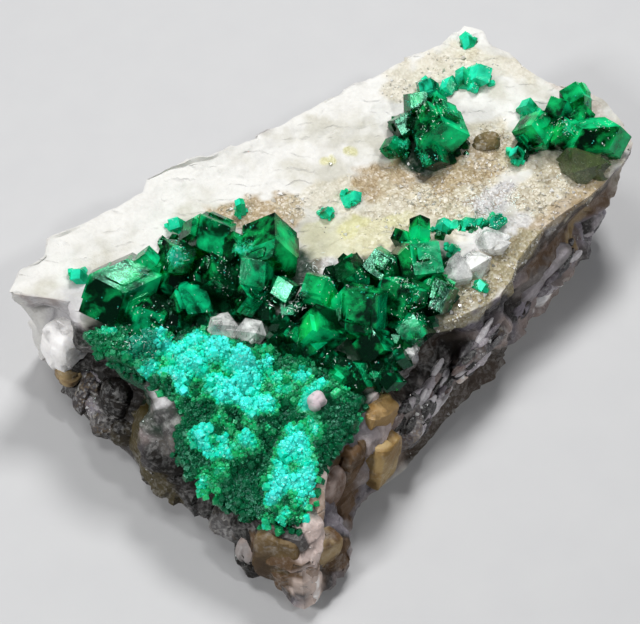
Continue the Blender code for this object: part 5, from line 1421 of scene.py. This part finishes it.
frosted = finish("frosted_dioptase", frost_paint)
draw = np.random.default_rng(CRUST_SEED)
corner = np.stack([CRUST_OUTLINE, (np.array(CRUST_OUTLINE) + np.roll(CRUST_OUTLINE, -1, axis=0)) / 2], axis=1)
corner = corner.reshape(-1, 2)
fine = np.stack([corner + (np.roll(corner, -1, axis=0) - corner) * k / 5.0 for k in range(5)], axis=1)
fine = fine.reshape(-1, 2)
# The sheet's rings: four of its underside, outwards, and sixty of its top, inwards.
rings = []
for share in (0.2, 0.5, 0.7, 0.84, *np.linspace(0.985, 0.03, 60)):
    x, y = (np.array(CRUST_MIDDLE) + (fine - CRUST_MIDDLE) * share).T
    height = upper_face(x, y) - CRUST_SINK if len(rings) < 4 else crust_height(x, y)
    rings.append(np.column_stack([x, y, height]))
rings = np.array(rings)
points = np.concatenate([rings.reshape(-1, 3), [rings[0].mean(axis=0), rings[-1].mean(axis=0)]])

# Its crystals: large ones set apart, then three sizes of smaller ones, then those that hem the edge.
rows = []
low, high = np.min(CRUST_OUTLINE, axis=0), np.max(CRUST_OUTLINE, axis=0)
while len(rows) < LARGE_COUNT:
    x, y = draw.uniform(low, high)
    if inside_outline(x, y) and all(math.hypot(x - row[0], y - row[1]) >= LARGE_GAP for row in rows):
        radius = draw.uniform(1.0, 1.6)
        turn = draw.uniform((180, 30, 0), (300, 85, 60))
        z = float(crust_top(np.array(x), np.array(y))) - 0.5
        rows.append((x, y, z, *turn, radius, radius * draw.uniform(2.0, 2.9)))
grown_rows = [np.array(rows) * LARGE_SHRINK]
for count, radii in SMALL_SIZES:
    place = draw.uniform(low, high, (count * 2, 2))
    place = place[inside_outline(*place.T)][:count]
    radius = draw.uniform(*radii, len(place))
    height = crust_height(*place.T) + 0.35 * radius
    grown_rows.append(np.column_stack([
        place, height, draw.uniform(0.0, 360.0, len(place)), draw.uniform(20.0, 90.0, len(place)),
        draw.uniform(0.0, 60.0, len(place)), radius, radius * draw.uniform(2.0, 2.9, len(place))]))
edge = fine[draw.choice(len(fine), EDGE_COUNT)] + draw.normal(0.0, EDGE_SPREAD, (EDGE_COUNT, 2))
away = np.degrees(np.arctan2(edge[:, 1] - CRUST_MIDDLE[1], edge[:, 0] - CRUST_MIDDLE[0]))
radius = draw.uniform(*EDGE_RADII, len(edge))
grown_rows.append(np.column_stack([
    edge, crust_top(*edge.T) - draw.uniform(0.1, 1.2, len(edge)), away + draw.normal(0.0, 30.0, len(edge)),
    draw.uniform(-20.0, 60.0, len(edge)), draw.uniform(0.0, 60.0, len(edge)), radius, 2.4 * radius]))
rows = np.concatenate(grown_rows)
rows = rows[np.linalg.norm(rows[:, :2] - GRAIN_ROOM[:2], axis=1) > GRAIN_ROOM[2]]
sheet_faces = [face[:, ::-1] for face in closed_faces(*rings.shape[:2])]
rows = rooted(rows, (nearest_on(points, sheet_faces), nearest_on(block_corners, block_faces)))
grown, grown_faces = crystals(rows)
noise_of = np.random.default_rng(5)
row_tint = crust_tint(rows[:, :3], noise_of)
# The sheet between the crystals is darkened to 0.6 of their tint: painted shade in the gaps.
sheet_shaded_tint = crust_tint(points, noise_of) * 0.6
grown_tint = np.repeat(row_tint, CRYSTAL_CORNERS, axis=0)
points, faces, tint = together([(points, sheet_faces, sheet_shaded_tint), (grown, grown_faces, grown_tint)])
crust = piece("front_crust_grown", points, faces, frosted, tint=tint)
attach(crust, "root")
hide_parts("front_crust")


# ================================================================ frost and sugar
# The finest growth: turquoise grains powdered over the larger crystals, and clear or tan grains sugared
# over the stained parts of the calcite. They are too small to be separate solids.
def on_faces(source, count, seed):
    """Seeded points on an object's faces, spread by area, in the tables' millimetres, and their normals."""
    mesh = source.data
    mesh.calc_loop_triangles()
    corners = np.empty(len(mesh.vertices) * 3, np.float32)
    mesh.vertices.foreach_get("co", corners)
    corners = corners.reshape(-1, 3) / MM + MIDDLE
    index = np.empty(len(mesh.loop_triangles) * 3, np.int32)
    mesh.loop_triangles.foreach_get("vertices", index)
    a, b, c = corners[index.reshape(-1, 3)].transpose(1, 0, 2)
    normal = np.cross(b - a, c - a)
    size = np.linalg.norm(normal, axis=1)
    draw = np.random.default_rng(seed)
    pick = draw.choice(len(size), count, p=size / size.sum())
    u, v = draw.random((2, count, 1))
    flip = u + v > 1.0
    u, v = np.where(flip, 1.0 - u, u), np.where(flip, 1.0 - v, v)
    points = a[pick] + (b - a)[pick] * u + (c - a)[pick] * v
    return points, normal[pick] / np.maximum(size[pick, None], 1e-12)


GRAIN_CORNERS = 5


def pyramids(shape, points, bearing, rise, roll):
    """Points and faces of double pyramids of five corners, three round the middle and two tips, each turned
    and set at its point."""
    turned = shape @ turns(bearing, rise, roll).transpose(0, 2, 1) + points[:, None, :]
    faces = np.array([(0, 1, 3), (1, 2, 3), (2, 0, 3), (1, 0, 4), (2, 1, 4), (0, 2, 4)])
    start = GRAIN_CORNERS * np.arange(len(points))[:, None, None]
    return turned.reshape(-1, 3), [(start + faces).reshape(-1, 3)]


def grains(points, radii, seed):
    """Points and faces of tiny three-sided double pyramids, each turned its own way about its point."""
    draw = np.random.default_rng(seed)
    count = len(points)
    radius = draw.uniform(*radii, count)[:, None, None]
    third = np.radians(120.0 * np.arange(3))
    ring = np.column_stack([np.cos(third), np.sin(third), 0.0 * third])
    shape = np.concatenate([ring, [(0.0, 0.0, 1.2), (0.0, 0.0, -1.2)]]) * radius
    return pyramids(shape, points, *draw.uniform((0, -90, 0), (360, 90, 120), (count, 3)).T)


# Where the large crystals sparkle: a place (x, y, z), its reach, and how thickly.
SPARKLES = (
    (-2.5, -11.0, 17.4, 3.6, 1.0), (-4.4, -13.0, 15.6, 2.6, 0.9), (2.0, -11.4, 16.2, 2.6, 0.8),
    (15.4, 3.4, 20.6, 2.6, 1.0), (12.0, 1.4, 18.4, 2.0, 0.7), (25.6, -7.6, 19.6, 1.9, 1.0),
    (28.6, -10.6, 18.8, 2.2, 0.5), (-28.0, 5.2, 16.2, 2.8, 1.0), (-14.0, -1.0, 17.0, 2.6, 0.6),
    (-20.4, 7.2, 20.6, 1.6, 0.8), (-18.0, 3.0, 18.8, 2.6, 0.45), (-10.4, -6.0, 17.6, 2.4, 0.4),
    (-6.0, -7.0, 17.4, 2.0, 0.6), (-15.4, -5.6, 16.6, 1.8, 0.5), (-13.6, -10.8, 15.0, 2.4, 0.4),
)
# Streaks of the dark rock that sparkle: from and to (x, y, z), reach, and how thickly.
STREAKS = (
    ((-10.6, -18.4, 5.4), (-5.4, -17.8, 6.8), 0.7, 0.3), ((-5.4, -17.6, 7.0), (3.0, -17.6, 9.8), 0.6, 0.3),
    ((-14.0, -17.4, 7.4), (-11.0, -17.6, 5.6), 0.9, 0.2),
    ((-31.4, 9.4, 6.6), (-33.0, 4.0, 2.4), 1.4, 0.35), ((-31.6, 1.0, 11.0), (-32.2, -3.6, 9.0), 1.2, 0.25),
    ((-32.6, -11.0, 4.0), (-32.6, -16.0, 3.0), 1.6, 0.25), ((15.0, -15.6, 6.0), (24.0, -14.4, 8.0), 1.2, 0.3),
    ((-9.0, -15.0, 12.4), (-5.0, -15.2, 11.6), 1.0, 0.5),
    ((-30.2, -20.6, 9.0), (-24.0, -18.0, 10.6), 0.7, 0.4),
)
powder_points, glint_points, glint_normals = [], [], []
for number, (name, made) in enumerate({**{key: clusters[key] for key in CLUSTERS}, "small": between}.items()):
    count = 14000 if name in ("left_crystals", "middle_crystals") else 7000
    points, normals = on_faces(made, count, 400 + number)
    above = points[:, 2] > upper_face(points[:, 0], points[:, 1]) + 0.2
    clumps = 0.35 + 1.1 * swirl(points, 1.3, 410) + 0.8 * swirl(points, 0.5, 411) + 0.2 * normals[:, 2]
    share = np.random.default_rng(10 * number).random((2, len(points)))
    sparkling = np.maximum(strongest(points, SPARKLES), 0.10) * clumps
    powdered = np.maximum(strongest(points, FROSTED), 0.08) * clumps
    powder_points.append((points + 0.02 * normals)[above & (powdered > share[0] * 0.9 + 0.05)])
    glinting = above & (sparkling > share[1] * 1.5 + 0.05)
    glint_points.append((points + 0.03 * normals)[glinting])
    glint_normals.append(normals[glinting])
rock_points, rock_normals = on_faces(calcite_block, 60000, 440)
share = np.random.default_rng(441).random(len(rock_points))
glinting = strongest_band(rock_points, STREAKS, 442)
glinting = glinting * (0.6 + 0.9 * swirl(rock_points, 0.8, 443)) > share
glint_points.append((rock_points + 0.03 * rock_normals)[glinting])
glint_normals.append(rock_normals[glinting])
powder_points, glint_points = np.concatenate(powder_points), np.concatenate(glint_points)
glint_normals = np.concatenate(glint_normals)
points, faces = grains(powder_points, (0.04, 0.11), 421)
tint = crust_tint(powder_points, np.random.default_rng(6)) * 0.3 + 0.7 * np.array((0.03, 0.80, 0.56))
powder = piece("powder_on_crystals", points, faces, frosted, tint=np.repeat(tint, GRAIN_CORNERS, axis=0))
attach(powder, "root")


def glint_paint(s):
    """Bright colourless grains with a breath of green, set where surfaces glint: painted highlights."""
    fine = s.noise(0.3, detail=3.0)
    return {
        "Base Color": fine.mix((0.72, 0.97, 0.88, 1.0), (0.98, 0.99, 0.98, 1.0)),
        "Roughness": 0.22,
        "IOR": 1.6,
        "Normal": s.bump(fine, 0.03, 0.3),
    }


crust_points, crust_normals = on_faces(crust, 7000, 430)
thick = 0.5 + 1.3 * swirl(crust_points, 2.2, 431) + 0.8 * swirl(crust_points, 0.7, 432)
thick += 0.3 * crust_normals[:, 2]
bright = crust_tint(crust_points, np.random.default_rng(7))[:, 1] > 0.8
keep = bright & (thick > draw.random(len(thick)) * 2.2 + 1.4) & (crust_normals[:, 2] > 0.2)
# Near-white grains where the crystals, the rock streaks and the bright crust glint: painted highlights.
glint_grain_points = np.concatenate([glint_points, (crust_points + 0.05 * crust_normals)[keep]])
points, faces = grains(glint_grain_points, (0.02, 0.06), 432)
glints = piece("glint_grains", points, faces, finish("glint_grains", glint_paint))
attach(glints, "root")


# White needles of the finest quartz, felted on the calcite and the crystals' feet; others are painted glints.
# Where they lie: centre (x, y, z), reach, and share of the surface's points that carry one.
FELTS = (
    (-12.4, -2.6, 15.8, 2.2, 0.9), (12.6, -8.6, 15.2, 2.4, 0.9), (15.6, -9.6, 15.0, 2.2, 0.7),
    (9.6, -11.0, 15.2, 1.8, 0.6), (-27.6, 5.0, 15.6, 3.0, 0.6), (24.0, -11.0, 16.4, 2.4, 0.6),
    (-7.0, -1.4, 15.6, 1.6, 0.7), (4.0, -13.2, 15.0, 2.2, 0.6),
)


def needles(points, normals, lengths, width, seed):
    """Points and faces of thin double pyramids that lie along the surface, each in a direction of its own."""
    draw = np.random.default_rng(seed)
    along = draw.normal(size=points.shape)
    along -= (along * normals).sum(axis=1, keepdims=True) * normals * 0.85
    along /= np.linalg.norm(along, axis=1, keepdims=True)
    bearing = np.degrees(np.arctan2(along[:, 1], along[:, 0]))
    rise = np.degrees(np.arcsin(np.clip(along[:, 2], -1.0, 1.0)))
    third = np.radians(120.0 * np.arange(3))
    half = draw.uniform(*lengths, len(points)) / 2
    shape = np.zeros((len(points), 5, 3))
    shape[:, :3, :2] = width * np.column_stack([np.cos(third), np.sin(third)])
    shape[:, 3, 2], shape[:, 4, 2] = half, -half
    return pyramids(shape, points, bearing, rise, 0.0 * rise)


sown = [on_faces(calcite_block, 60000, 450), on_faces(crust, 12000, 451), on_faces(between, 9000, 452)]
points, normals = (np.concatenate([pair[k] for pair in sown]) for k in (0, 1))
felted = strongest(points, FELTS)
keep = (felted > np.random.default_rng(453).random(len(points)) * 0.9 + 0.08) & (normals[:, 2] > 0.0)
points, faces = together([
    needles(points[keep] + 0.04 * normals[keep], normals[keep], (0.25, 0.8), 0.03, 454),
    # These lie where the crystals glint: streaks of painted highlight.
    needles(glint_points[::2], glint_normals[::2], (0.12, 0.5), 0.028, 455),
])
felt = piece("white_needles", points, faces, finish("needles", glint_paint))
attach(felt, "root")


def sugar_paint(s):
    """Clear to tan grains with bright facets."""
    fine = s.noise(0.3, detail=3.0)
    return {
        "Base Color": (fine * 0.4).mix(s.attribute("tint", output="Color"), (0.92, 0.91, 0.87, 1.0)),
        "Roughness": 0.12,
        "IOR": 1.54,
        "Transmission Weight": 0.15,
        "Normal": s.bump(fine, 0.05, 0.3),
    }


block_points, block_normals = on_faces(calcite_block, 110000, 500)
white = np.tile(WHITE, (len(block_points), 1))
ground_tint, grainy = patched(block_points, white, np.zeros(len(block_points)))
draw = np.random.default_rng(501)
blotches = 0.62 + 1.0 * swirl(block_points, 3.0, 504) + 0.6 * swirl(block_points, 1.1, 505)
blotchy = grainy * np.clip(blotches, 0.0, 1.0)
keep = (blotchy > draw.random(len(grainy)) * 1.3 + 0.12) & (block_points[:, 2] > 1.0)
sugar_points = (block_points + 0.02 * block_normals)[keep]
lightness = draw.choice([0.0, 0.35, 0.8, -0.35], len(sugar_points), p=(0.35, 0.3, 0.25, 0.1))[:, None]
tint = ground_tint[keep]
tint = tint + (np.where(lightness > 0.0, 0.92, 0.04) - tint) * np.abs(lightness)
larger = draw.random(len(sugar_points)) < 0.12
points, faces = together([
    grains(sugar_points, (0.05, 0.15), 502), grains(sugar_points[larger], (0.16, 0.34), 503)])
tint = np.repeat(np.concatenate([tint, tint[larger]]), GRAIN_CORNERS, axis=0)
sugar = piece("sugar_on_calcite", points, faces, finish("sugar", sugar_paint), tint=tint)
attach(sugar, "root")

boxes = {"cad": cad_box, "visual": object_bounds()}
{key: [list(corner) for corner in box] for key, box in boxes.items()}
